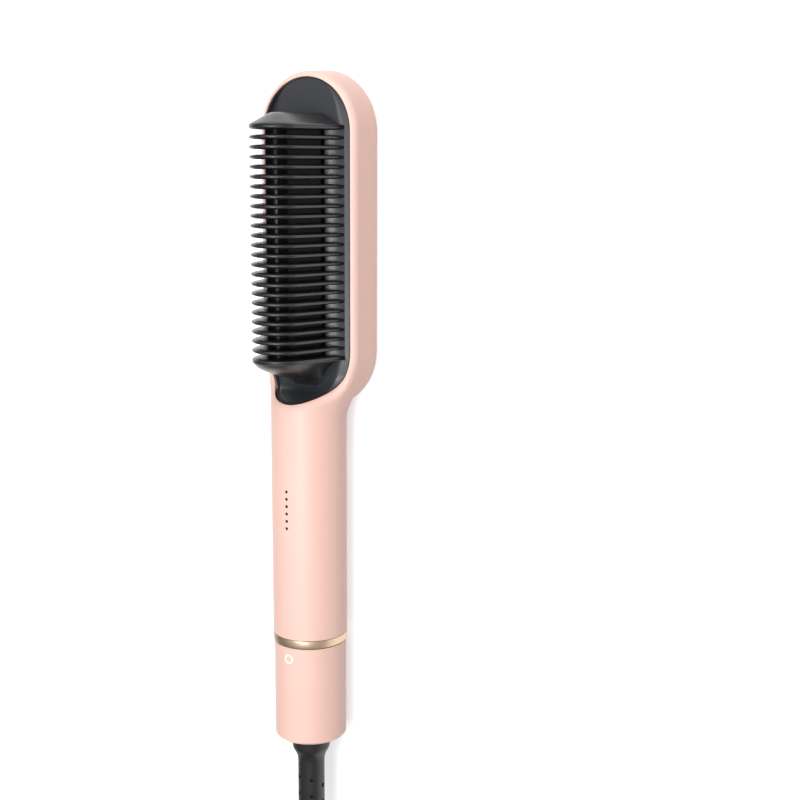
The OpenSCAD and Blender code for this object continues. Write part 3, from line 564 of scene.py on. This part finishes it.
def section(y, points=64):
    """Half of a section at y, from the middle of the back to the middle of the front."""
    mid_z = np.interp(y, MID_FALLS, (AXIS_Z, HEAD_MID_Z))
    a = np.linspace(-math.pi / 2, math.pi / 2, RAYS)
    near, far = np.zeros_like(a), np.full_like(a, FAR)
    for _ in range(HALVINGS):
        half = (near + far) / 2
        out = shell_skin(half * np.cos(a), y, mid_z + half * np.sin(a)) > 0
        far, near = np.where(out, half, far), np.where(out, near, half)
    x, z = near * np.cos(a), mid_z + near * np.sin(a)
    step = np.hypot(np.diff(x), np.diff(z))
    bend = np.abs(np.diff(np.unwrap(np.arctan2(np.diff(z), np.diff(x)))))
    bend = np.concatenate([[0], bend])
    spread = np.cumsum(np.concatenate([[0], step / step.sum() + BEND_SHARE * bend / math.pi]))
    at = np.linspace(0, spread[-1], points)
    return [(np.interp(q, spread, x), y, np.interp(q, spread, z)) for q in at]


# %% Loft the shell
TIP_SHORT = 0.2  # the side draft takes this off the round end at mid height

# Sections stand close together through the neck and over the round end
stations = [HANDLE_END, HANDLE_END + 0.3]
stations += [*np.linspace(-86, -4, 20), *np.linspace(-2, 30, 65), *np.linspace(34, 108, 14)]
tip_angles = (*range(0, 84, 4), 83, 85, 87, 89)
stations += [HEAD_HIGH + (HEAD_R - TIP_SHORT) * math.sin(math.radians(a)) for a in tip_angles]
rings = []
for y in stations:
    half = section(y)
    rings.append(half + [(-x, v, z) for x, v, z in half[-2:0:-1]])
shell = loft(rings, closed=True, ends=True)
shell.name = "shell_moulding"
print("shell sections", len(rings))

# %% [markdown]
# ### Cutting the shell's recesses
# The front takes a sunk panel, the back an inlay, and the inside is hollow. Each cutter is a slab
# with round ends. Two cylinders and a box would leave seams, so one cylinder is cut in half by a
# bisect and its far half is moved away.


# %% Slab with round ends
def slab(r, z0, z1, y0=HEAD_LOW, y1=HEAD_HIGH, sides=96):
    bpy.ops.object.select_all(action="DESELECT")
    bpy.ops.mesh.primitive_cylinder_add(vertices=sides, radius=r * MM, depth=(z1 - z0) * MM,
                                        location=(0, y0 * MM, (z0 + z1) / 2 * MM))
    piece = bpy.context.object
    bpy.ops.object.transform_apply(location=True)
    bpy.ops.object.mode_set(mode="EDIT")
    bpy.ops.mesh.select_all(action="SELECT")
    bpy.ops.mesh.bisect(plane_co=(0, y0 * MM, 0), plane_no=(0, 1, 0))
    bpy.ops.object.mode_set(mode="OBJECT")
    for point in piece.data.vertices:
        if point.co.y > (y0 + 1e-3) * MM:
            point.co.y += (y1 - y0) * MM
    return piece


# %% Round peg
def peg(r, long, place, turned=(0, 0, 0), sides=24):
    bpy.ops.object.select_all(action="DESELECT")
    bpy.ops.mesh.primitive_cylinder_add(vertices=sides, radius=r * MM, depth=long * MM,
                                        location=[v * MM for v in place], rotation=turned)
    return bpy.context.object


# %% [markdown]
# ### The recess of the front panel
# The panel's seat follows the sweep down to the foot, so a flat cutter won't do. Its lower face is
# lofted from a line that keeps one depth under the sweep, and its upper face is well clear above.

# %% Outline of the recess
PANEL_LOW, SEAT_R = 26.5, 20.6  # the centre of the panel's lower round end, and the recess's half width
RECESS_DEEP, RECESS_TOP, CLEAR_Z = 4.4, 29, 45


def stadium(r, low=HEAD_LOW, high=HEAD_HIGH, arc=40, side=11):
    """Points round a shape with two round ends, from the right side over the foot."""
    turns = np.linspace(0, math.pi, arc + 1)
    loop = [(r * math.cos(a), low - r * math.sin(a)) for a in turns]
    loop += [(-r, y) for y in np.linspace(low, high, side + 1)[1:]]
    loop += [(r * math.cos(a), high + r * math.sin(a)) for a in turns[::-1][1:]]
    return loop + [(r, y) for y in np.linspace(high, low, side + 1)[1:-1]]


def sunk(y, depth):
    """Height of the sweep's surface at y, set back by the depth."""
    if y >= SWEEP_Y:
        return SWEEP_Z - SWEEP_R - depth
    r = SWEEP_R + depth
    low = SWEEP_Y - r * math.sin(SWEEP_TILT)
    if y >= low:
        return SWEEP_Z - math.sqrt(r * r - (SWEEP_Y - y) ** 2)
    return SWEEP_Z - r * math.cos(SWEEP_TILT) + (low - y) * math.tan(SWEEP_TILT)


outline = stadium(SEAT_R, PANEL_LOW)
seat_line = [(x, y, min(sunk(y, RECESS_DEEP), RECESS_TOP)) for x, y in outline]
carve(shell, loft([seat_line, [(x, y, CLEAR_Z) for x, y in outline]], closed=True, ends=True))
print("recess", 2 * SEAT_R, "mm wide")

# %% [markdown]
# ### The hollow, the inlay's seat and the light holes
# A moulding has an even wall, so the inside is cut away too: a bore up the handle, a pocket in the
# head, and an opening from the pocket to the panel that leaves a ledge for it to sit on.

# %% Hollow the shell and cut its seats
WALL, FLOOR_Z, LEDGE_Z, LEDGE_T, LEDGE_WIDE = 2.2, 3.4, 11.3, 1.6, 1.3
BORE_R, BORE_LONG, BORE_MID = 13.1, 110.6, -34.7
trim_high = node_box("back_trim")[1]
TRIM_OUT, TRIM_DEEP, TRIM_GAP = trim_high[0], trim_high[2], 0.22
DOTS, DOT_Y, DOT_PITCH, DOT_D, DOT_CUT = 6, -28.5, 2.98, 1.3, 10
PAST, OVERLAP = 1, 0.4  # how far a cutter runs past a face, or into the pocket under it

carve(shell, peg(BORE_R, BORE_LONG, (0, BORE_MID, AXIS_Z), (math.pi / 2, 0, 0), sides=90))
carve(shell, slab(HEAD_R - WALL, FLOOR_Z, LEDGE_Z - LEDGE_T))
carve(shell, slab(SEAT_R - LEDGE_WIDE, LEDGE_Z - LEDGE_T - OVERLAP, LEDGE_Z + PAST, PANEL_LOW))
carve(shell, slab(TRIM_OUT + TRIM_GAP, -PAST, TRIM_DEEP))
dots = [peg(DOT_D / 2, DOT_CUT, (0, DOT_Y - DOT_PITCH * k, 2 * AXIS_Z)) for k in range(DOTS)]
carve(shell, join(dots))
finish_piece(shell, "shell_moulding", "shell", ["main_shell"])

# %% [markdown]
# ### The lip's bright edge
# The moulding's rim turns over into the recess with a small round that catches the light. A round
# bead along the recess's edge is quicker than a bevel on a carved mesh and gives the same line.

# %% Lip bead
BEAD_R, BEAD_IN = 0.2, 0.12  # its radius, and how far its line lies outside the recess and under the front


def front_of_shell(x, y, above=31, below=12):
    z = np.linspace(above, below, 400)
    out = shell_skin(np.full_like(z, x), y, z) > 0
    return float(z[np.argmin(out)])


def ring_along(points, r, sides=8):
    """A round tube along a closed line."""
    line = [Vector(q) for q in points]
    rows = []
    for behind, here, ahead in zip([line[-1]] + line, line, line[1:] + [line[0]]):
        way = (ahead - behind).normalized()
        side = way.cross(Vector((0, 0, 1))).normalized()
        up = side.cross(way)
        rows.append([here + r * (math.cos(a) * side + math.sin(a) * up) for a in around(sides)])
    return loft(rows + rows[:1], closed=True)


bead_line = []
scale = (SEAT_R + BEAD_IN) / SEAT_R
for x, y in outline:
    mid = min(max(y, PANEL_LOW), HEAD_HIGH)
    bead_x, bead_y = x * scale, mid + (y - mid) * scale
    bead_line.append((bead_x, bead_y, front_of_shell(bead_x, bead_y) - BEAD_IN))
finish_piece(ring_along(bead_line, BEAD_R), "shell_lip", "shell")

# %% [markdown]
# ## The dark panel round the comb
# This panel is a thin moulding: flat under the comb, falling away to a paler slope along each long
# side, and swept up at its foot to meet the front of the handle. It is lofted in rows across, each
# as wide as the recess is there, and then a solidify modifier gives it a wall.

# %% Sizes of the panel and its slope
PANEL_R, PANEL_Z, PANEL_FLAT, PANEL_DROP, PANEL_WALL, PANEL_TOP = 20.25, 15.15, 15.9, 2.3, 1.6, 29.6
PANEL_SUNK = SWEEP_Z - SWEEP_R - PANEL_Z
SLOPE_ENDS, SLOPE_FADE, SLOPE_LEAST = math.radians(74), math.radians(60), 0.05
EASE_FROM, EASE_TO = 0.85, 1.25  # shares of the slope's width over which it eases into the flat


def slope_width(x, y):
    """The slope is widest along the sides and runs out towards both round ends."""
    mid = min(max(y, PANEL_LOW), HEAD_HIGH)
    toward = math.atan2(abs(y - mid), abs(x) + 1e-6)
    fade = min(max((SLOPE_ENDS - toward) / SLOPE_FADE, 0), 1)
    return (PANEL_R - PANEL_FLAT) * fade * fade * (3 - 2 * fade)


def panel_height(x, y, base):
    mid = min(max(y, PANEL_LOW), HEAD_HIGH)
    inset = PANEL_R - math.hypot(x, y - mid)
    wide = slope_width(x, y)
    if wide < SLOPE_LEAST:
        return base
    share = min(max(inset / wide, 0), EASE_TO)
    eased = (1 - EASE_FROM) * ((EASE_TO - share) / (EASE_TO - EASE_FROM)) ** 2
    drop = 1 - share if share < EASE_FROM else eased
    return base - PANEL_DROP * wide / (PANEL_R - PANEL_FLAT) * drop


# %% Loft the panel and give it a wall
sweep_y = [SWEEP_Y - (SWEEP_Z - PANEL_Z) * math.sin(a) for a in np.linspace(SWEEP_TILT, 0, 15)]
row_y = [*np.linspace(PANEL_LOW - PANEL_R + 0.002, sweep_y[0], 16)[:-1], *sweep_y]
row_y += [*np.linspace(SWEEP_Y, PANEL_LOW, 9)[1:], *np.linspace(PANEL_LOW, HEAD_HIGH, 30)[1:]]
row_y += [HEAD_HIGH + PANEL_R * math.sin(a) for a in np.linspace(0, math.pi / 2, 26)[1:]]
across = [math.sin(a) for a in np.linspace(-math.pi / 2, math.pi / 2, 61)]
rows = []
for y in row_y:
    mid = min(max(y, PANEL_LOW), HEAD_HIGH)
    half = math.sqrt(max(PANEL_R ** 2 - (y - mid) ** 2, 0))
    base = min(sunk(y, PANEL_SUNK), PANEL_TOP)
    rows.append([(half * f, y, panel_height(half * f, y, base)) for f in across])
panel = take(loft(rows))
wall = panel.modifiers.new("wall", "SOLIDIFY")
wall.thickness = PANEL_WALL * MM
wall.offset = -1
bpy.ops.object.modifier_apply(modifier="wall")
print("panel rows", len(rows))

# %% [markdown]
# ### A raised rim round the panel
# A thin rim stands round the real panel and its inner edge is the line that the eye follows. It is
# a small section carried round the outline, each point at its own depth under the sweep.

# %% Carry the rim's section round the panel
RIM_TOP = 29.8
RIM = [(19.9, 3.2), (19.9, 0.55), (20.0, 0.35), (20.2, 0.35), (20.28, 0.5), (20.3, 1.3), (20.65, 1.3),
       (20.65, 3.2), (19.9, 3.2)]  # half width of the outline, and depth under the sweep

rim = loft([[(x, y, min(sunk(y, deep), RIM_TOP)) for x, y in stadium(r, PANEL_LOW)] for r, deep in RIM],
           closed=True)
finish_piece(join([panel, rim]), "front_panel", "dark_panel", ["front_bezel"], angle=40)

# %% [markdown]
# ## The comb
# Twenty-five thin blades arch over the heated bar and stop hair from touching it. One blade is a
# leaf in section: full thickness inside, and drawn to a fine round edge outside. A bevel on a slab
# would give a chamfer, so the leaf's points are each carried along their own arch.

# %% Sizes of the comb
BLADES, BLADE_Y, BLADE_PITCH, BLADE_T = 25, 111.3, 3.625, 1.8
CROWN_R, FLANK, ROOT_Z = 11.44, math.radians(17), 12.6
CROWN_Z = node_box("comb_guard")[1][2] - CROWN_R
LEAF = [(5.9, 0.9), (2.4, 0.9), (1.5, 0.85), (0.85, 0.74), (0.4, 0.58), (0.12, 0.38),
        (0.02, 0.16)]  # depth under the blade's edge, and half its thickness there


# %% Arch of the comb at a depth under its outline
def arch(depth, base_z=ROOT_Z, steps=28):
    """A round crown between two flanks that lean outwards, down to base_z."""
    r = CROWN_R - depth
    turn_x, turn_z = r * math.cos(FLANK), CROWN_Z + r * math.sin(FLANK)
    foot_x = turn_x + (turn_z - base_z) * math.tan(FLANK)
    angles = np.linspace(FLANK, math.pi - FLANK, steps)
    crown = [(r * math.cos(a), CROWN_Z + r * math.sin(a)) for a in angles]
    shares = np.linspace(0, 1, 7)[:-1]
    flank = [(foot_x + (turn_x - foot_x) * f, base_z + (turn_z - base_z) * f) for f in shares]
    return flank + crown + [(-x, z) for x, z in flank[::-1]]


# %% Blades
def blade(y):
    profile = LEAF + [(depth, -t) for depth, t in LEAF[::-1]] + LEAF[:1]
    return close_up(loft([[(x, y + t, z) for x, z in arch(depth)] for depth, t in profile]))


comb = join([blade(BLADE_Y - BLADE_PITCH * k) for k in range(BLADES)])
finish_piece(comb, "comb_blades", "comb_plastic", ["comb_guard"], angle=40)

# %% [markdown]
# ### The comb's upper hood
# The upper end of the comb is closed by a sloping hood that runs from the outline of the last blade
# in to the outline of the bar. It faces the light and shows paler than the blades. Its rows are
# arches of falling size. Near the foot each row keeps back, so the hood stands steep on the panel.

# %% Upper hood
UPPER_EDGE = BLADE_Y + BLADE_T / 2
HOOD_ROOT_Z, HOOD_BASE, HOOD_FULL = 12.4, 14, 20  # between the last two, foot turns into crown
# Depth under the outline, then how far the row stands out at the crown and at the foot
UPPER_FACE = [(0.9, -0.9, -0.9), (0.12, -0.4, -0.4), (0.02, 0.0, 0.0), (0.25, 0.3, 0.1),
              (0.9, 0.7, 0.15), (1.8, 1.2, 0.3), (3.2, 1.95, 0.7), (4.4, 2.6, 1.6), (5.5, 3.2, 2.6),
              (6.9, 3.9, 3.4), (8.1, 4.4, 4.0), (9.6, 4.6, 4.4), (11.3, 4.7, 4.6)]
UPPER_LAST = (11.3, 4.75, 4.65)


def upper_row(deep, at_crown, at_foot, narrow=1):
    row = []
    for x, z in arch(deep, HOOD_ROOT_Z):
        share = min(max((z - HOOD_BASE) / (HOOD_FULL - HOOD_BASE), 0), 1)
        row.append((x * narrow, UPPER_EDGE + at_foot + (at_crown - at_foot) * share, z))
    return row


upper_rows = [upper_row(*face) for face in UPPER_FACE]
upper_rows += [upper_row(*UPPER_LAST, narrow) for narrow in (0.5, 0)]
upper = close_up(loft(upper_rows))
print("upper hood rows", len(upper_rows))

# %% [markdown]
# ### The comb's lower hood
# The lower hood is longer: it leans out over the ramp at the panel's foot and comes down onto it.
# Its rows shrink and fall together, by a share that starts and ends gently.

# %% Lower hood
LOWER_EDGE = BLADE_Y - BLADE_PITCH * (BLADES - 1) - BLADE_T / 2
LOWER_END, LOWER_FOOT, LOWER_IN = 11.5, 23.0, 6.5  # where crown and foot end on Y, and the last depth
LOWER_FULL, LOWER_ROWS, RAMP_BITE = 32, 22, 0.2
FALL_LATE, SHRINK_EARLY = 1.3, 0.85  # powers that bend the share of the fall and of the shrinking

lower_rows = [[(x, LOWER_EDGE + back, z) for x, z in arch(deep, HOOD_ROOT_Z)]
              for deep, back in ((0.9, 0.9), (0.12, 0.4))]
for f in np.linspace(0, 1, LOWER_ROWS):
    row, gone = [], f ** FALL_LATE
    left = 1 - gone * gone * (3 - 2 * gone)
    for x, z in arch(0.02 + LOWER_IN * f ** SHRINK_EARLY, HOOD_ROOT_Z):
        share = min(max((z - HOOD_BASE) / (LOWER_FULL - HOOD_BASE), 0), 1)
        y = LOWER_EDGE + (LOWER_FOOT + (LOWER_END - LOWER_FOOT) * share - LOWER_EDGE) * f
        low = sunk(y, PANEL_SUNK) - RAMP_BITE
        row.append((x, y, z if z < low else low + (z - low) * left))
    lower_rows.append(row)
lower_rows.append([(x, LOWER_EDGE + 0.6, HOOD_ROOT_Z) for x, z in arch(LOWER_IN, HOOD_ROOT_Z)])
lower = close_up(loft(lower_rows + lower_rows[:1]))
finish_piece(join([upper, lower]), "comb_hoods", "comb_plastic", angle=50)

# %% [markdown]
# ### Rails under the blades
# Between the blades' roots the photograph shows a paler strip beside the bar. It is taken to be a
# rail with a sloping top, so a section is carried straight along the comb, once for each side.

# %% Rails between the blades' roots
RAIL = [(10.4, 17.9), (11.2, 17.8), (12.6, 17.3), (14.2, 16.6), (15.6, 15.8), (16.8, 14.85), (17.7, 14.0),
        (17.7, 13.4), (10.4, 13.4)]
RAIL_Y = (LOWER_EDGE - 0.3, 60, UPPER_EDGE + 0.1)

rails = [loft([[(side * x, y, z) for x, z in RAIL] for y in RAIL_Y], closed=True, ends=True)
         for side in (-1, 1)]
finish_piece(join(rails), "comb_rails", "dark_panel", angle=40)

# %% [markdown]
# ## The back: a gilt band and an inlay
# A plated band with two bevels runs round the back, and a pink inlay fills it. Both are sections
# carried round the head's outline; the gap that a separate part leaves reads as a fine dark line.


# %% Band
def round_head(section):
    """Carry a section of (half width, height) round the head's outline."""
    return loft([[(x, y, z) for x, y in stadium(r)] for r, z in section], closed=True)


TRIM_IN, SEAT_Z = 16.97, 1.35
BEVEL = [(0, 0.52), (0.12, 0.34)]  # the band's edge: how far in, and how high above the back
band = [(TRIM_IN, SEAT_Z)] + [(TRIM_IN + far, z) for far, z in BEVEL + [(1.05, 0.05), (1.3, 0)]]
band += [(TRIM_OUT - far, z) for far, z in [(1.15, 0), (0.9, 0.05)] + BEVEL[::-1]]
band += [(TRIM_OUT, SEAT_Z), (TRIM_IN, SEAT_Z)]
finish_piece(round_head(band), "gilt_band", "trim_metal", ["back_trim"], angle=35)

# %% [markdown]
# ### The inlay
# The inlay is a flat plate in the band, with an edge that turns away in three small steps. Its
# face is what the section's last ring leaves open, so filling that ring makes the plate.

# %% Inlay
INLAY = [(0.25, SEAT_Z), (0.25, 0.6), (0.4, 0.38), (0.8, 0.22), (1.6, 0.16)]
inlay = close_up(round_head([(TRIM_IN - far, z) for far, z in INLAY]))
finish_piece(inlay, "inlay", "shell", ["back_panel"], angle=35)

# %% [markdown]
# ## The handle's end
# A gilt ring parts the handle from the temperature dial. The ring is a section spun round the
# handle's axis, and its small edge radii give the two fine lines beside it.


# %% Gilt ring
def spun(section, sides=96):
    """Spin a section of (radius, y) round the handle's axis."""
    return loft([[(r * math.sin(a), y, AXIS_Z + r * math.cos(a)) for a in around(sides)]
                 for r, y in section], closed=True)


RING = [(12.95, -89.3), (14.75, -89.3), (14.93, -89.36), (HANDLE_R, -89.55), (HANDLE_R, -92.1),
        (14.93, -92.3), (14.75, -92.36), (12.95, -92.36), (12.95, -89.3)]
finish_piece(spun(RING), "gilt_ring", "trim_metal", ["handle_ring"], angle=50)

# %% [markdown]
# ### The strain relief
# Where the lead leaves the dial, a soft sleeve keeps it from bending sharply. It flares to a
# collar, runs straight, and narrows to the lead. The real one has rows of dimples that let it bend.
# Here short pegs are cut out of it in six rows, two of them half a pitch lower.

# %% Strain relief with its dimples
COLLAR_R, SLEEVE_R, CORE_R, SLEEVE_END = 7.8, 5.5, 1.5, -186
COLLAR = [(CORE_R, -133.95), (7.5, -133.95), (COLLAR_R, -134.2), (COLLAR_R, -139.0)]
FLARE = [(7.65, -139.9), (7.2, -140.9), (6.6, -142.0), (6.1, -143.1), (5.75, -144.2), (5.56, -145.3)]
NOZZLE = [(SLEEVE_R, -146.5), (SLEEVE_R, -176), (3.75, -185.5), (3.5, -185.9), (3.3, SLEEVE_END),
          (CORE_R, SLEEVE_END)]
DIMPLE_R, DIMPLE_LONG, DIMPLE_Y, DIMPLE_PITCH, DIMPLES = 0.95, 4, -153, 7.3, 4
FRONT_TURN = 32.8  # degrees from straight up to the side that the camera sees
DIMPLE_ROWS = ((6, 0), (65, 0.5), (124, 0), (186, 0.5), (241, 0), (296, 0))  # degrees round, and shift

sleeve = spun(COLLAR + FLARE + NOZZLE + COLLAR[:1], 72)
dimples = []
for turned, shift in DIMPLE_ROWS:
    a = math.radians(FRONT_TURN + turned)
    out = SLEEVE_R + PAST
    for k in range(DIMPLES):
        place = (out * math.sin(a), DIMPLE_Y - DIMPLE_PITCH * (k + shift), AXIS_Z + out * math.cos(a))
        dimples.append(peg(DIMPLE_R, DIMPLE_LONG, place, (0, a, 0)))
carve(sleeve, join(dimples))
finish_piece(sleeve, "cord_sleeve", "cord_rubber", ["strain_relief"], body="swivel", angle=35)

# %% [markdown]
# ### Marks on the dial
# The temperatures stand round the dial and read towards its end. Each is a text made into a
# mesh and wrapped on the cylinder: its length runs down the handle, its height round it. Cutting
# them into the dial would take a boolean for each letter, and print has hardly any depth anyway.

# %% Printed marks
DIAL_R = node_box("dial_cap")[1][0]
MARKED = {"210": 135, "190": 180, "170": 225, "150": 270, "130": 315}  # degrees round the dial
MARK_Y, MARK_LONG, MARK_HIGH = -95.2, 6.6, 2.7
INK_LIFT, INK, INK_ROOT = 0.03, 0.05, -0.06  # print stands 0.08 mm proud, its underside in the dial
POINTER_Y, POINTER_IN, POINTER_OUT = -97.7, 1.38, 2.0
FINISHES["printed_ink"] = grained("printed_ink", "FFFBF2", 0.4, 0.4, 0.004, 0.01)


def wrap(piece, angle, y_start, along=1.0, up=1.0):
    for point in piece.data.vertices:
        round_by = math.radians(angle) + point.co.y * up / DIAL_R
        out = DIAL_R + INK_LIFT + (INK if point.co.z > 0 else INK_ROOT)
        y = y_start - point.co.x * along
        point.co = Vector((out * math.sin(round_by), y, AXIS_Z + out * math.cos(round_by))) * MM
    return piece


def label(word, angle):
    """A word, centred on its own height and drawn out to the size of the marks."""
    bpy.ops.object.select_all(action="DESELECT")
    bpy.ops.object.text_add()
    text = bpy.context.object
    text.data.body = word
    text.data.size = 1
    text.data.extrude = 0.02
    text.data.resolution_u = 4
    text.data.align_y = "CENTER"
    bpy.ops.object.convert(target="MESH")
    text = bpy.context.object
    xs, ys = [[point.co[axis] for point in text.data.vertices] for axis in (0, 1)]
    for point in text.data.vertices:
        point.co.y -= (max(ys) + min(ys)) / 2
    return wrap(text, angle, MARK_Y, MARK_LONG / max(xs), MARK_HIGH / (max(ys) - min(ys)))


marks = [label(word + "\u00b0C", angle) for word, angle in MARKED.items()]
pointer_section = [(POINTER_IN, -1), (POINTER_IN, 1), (POINTER_OUT, 1), (POINTER_OUT, -1), (POINTER_IN, -1)]
pointer = loft([[(r * math.cos(a) / MM, r * math.sin(a) / MM, z / MM) for a in around(48)]
                for r, z in pointer_section], closed=True)
marks.append(wrap(pointer, 0, POINTER_Y))
finish_piece(join(marks), "dial_marks", "printed_ink", body="dial", angle=30)

# %% [markdown]
# ## The strap
# A hook and loop strap holds the hank: a band with round corners and one end lapped over its top.
# Its section is carried round a rounded box. The lap is a second, straight strip with round edges,
# laid on the first, because a closed loop can't lap over itself.

# %% Strap
strap_low, strap_high = node_box("cord_tie")
STRAP_T, STRAP_R, EDGE = 0.6, 3.3, 0.15
STRAP_HALF = (strap_high[0] - strap_low[0]) / 2 - STRAP_T
STRAP_TOP = strap_high[2] - STRAP_T - 0.02
LAP_FROM, LAP_LONG, LAP_IN = 9, 26, 0.2


def strap_path(out, steps=7):
    """A box with round corners, at a distance outside the strap's inner face."""
    corner_x, low, high = STRAP_HALF - STRAP_R, STRAP_T + STRAP_R, STRAP_TOP - STRAP_R
    path = []
    for k, (x, z) in enumerate(((corner_x, high), (-corner_x, high), (-corner_x, low), (corner_x, low))):
        for a in np.linspace(k * math.pi / 2, (k + 1) * math.pi / 2, steps):
            path.append((HANK_X + x + (STRAP_R + out) * math.cos(a), z + (STRAP_R + out) * math.sin(a)))
    return path


near_y, far_y = strap_low[1], strap_high[1]
strap_section = [(0, near_y + EDGE), (0, far_y - EDGE), (EDGE, far_y), (STRAP_T - EDGE, far_y),
                 (STRAP_T, far_y - EDGE), (STRAP_T, near_y + EDGE), (STRAP_T - EDGE, near_y),
                 (EDGE, near_y), (0, near_y + EDGE)]
loop = loft([[(x, y, z) for x, z in strap_path(out)] for out, y in strap_section], closed=True)
lap_z = STRAP_TOP + STRAP_T + 0.02
lap_section = [(near_y + LAP_IN, 0), (far_y - LAP_IN, 0), (far_y, STRAP_T / 2), (far_y - LAP_IN, STRAP_T),
               (near_y + LAP_IN, STRAP_T), (near_y, STRAP_T / 2)]
lap = [[(HANK_X + LAP_FROM - LAP_LONG * f, y, lap_z + up) for y, up in lap_section]
       for f in np.linspace(0, 1, 12)]
strap = join([loop, loft(lap, closed=True, ends=True)])
finish_piece(strap, "cord_strap", "tie_fabric", ["cord_tie"], angle=40)

# %% [markdown]
# ## The plug
# The plug is one moulding that grows from a ribbed boot to a flat body with soft edges. A bevelled
# box would lack the boot, so round and flat rows are lofted in one go, and the ribs are a loop.

# %% Plug
plug_low, plug_high = node_box("plug_body")
PLUG_X = (plug_low[0] + plug_high[0]) / 2
PLUG_Z = (plug_low[2] + plug_high[2]) / 2
BOOT_END, PLUG_END = plug_high[1], plug_low[1]
RIBS, RIB_PITCH, RIB_D, RIB_GROWS, GROOVE = 5, 2.6, 7.0, 0.45, 1.1
BODY_W, BODY_T = 26, 13.7


def plug_row(y, wide, thick, points=64):
    """A row that is round where it is as wide as thick, and flat between two half rounds otherwise."""
    row = []
    for a in around(points):
        straight = math.copysign((wide - thick) / 2, math.cos(a)) * min(1, abs(math.cos(a)) * 4)
        row.append((PLUG_X + straight + thick / 2 * math.cos(a), y, PLUG_Z + thick / 2 * math.sin(a)))
    return row


boot = [(BOOT_END, 5.6), (BOOT_END, 6.4), (BOOT_END - 0.3, 6.8)]
for k in range(RIBS):
    d, y = RIB_D + RIB_GROWS * k, BOOT_END - 0.6 - RIB_PITCH * k
    boot += [(y - 1.3, d), (y - 1.5, d - 0.2), (y - 1.7, d - GROOVE)]
    boot += [(y - 2.3, d - GROOVE), (y - 2.5, d + 0.2)]
boot.append((-323.2, 9.4))
SHOULDER = [(-324.2, 11, 10.2), (-325.2, 14.5, 11.6), (-326.6, 19, 12.8), (-328.4, 23, 13.4),
            (-330.6, 25.3, 13.65), (-333, BODY_W, BODY_T)]
FACE = [(-350.6, BODY_W, BODY_T), (-352.6, 25.6, 13.3), (-353.6, 24.8, 12.4), (PLUG_END, 23.4, 11),
        (PLUG_END, 4, 0.6)]
plug_rows = [plug_row(y, d, d) for y, d in boot] + [plug_row(*row) for row in SHOULDER + FACE]
plug = close_up(loft(plug_rows, closed=True))
finish_piece(plug, "plug_moulding", "black_plastic", ["plug_body"], angle=35)
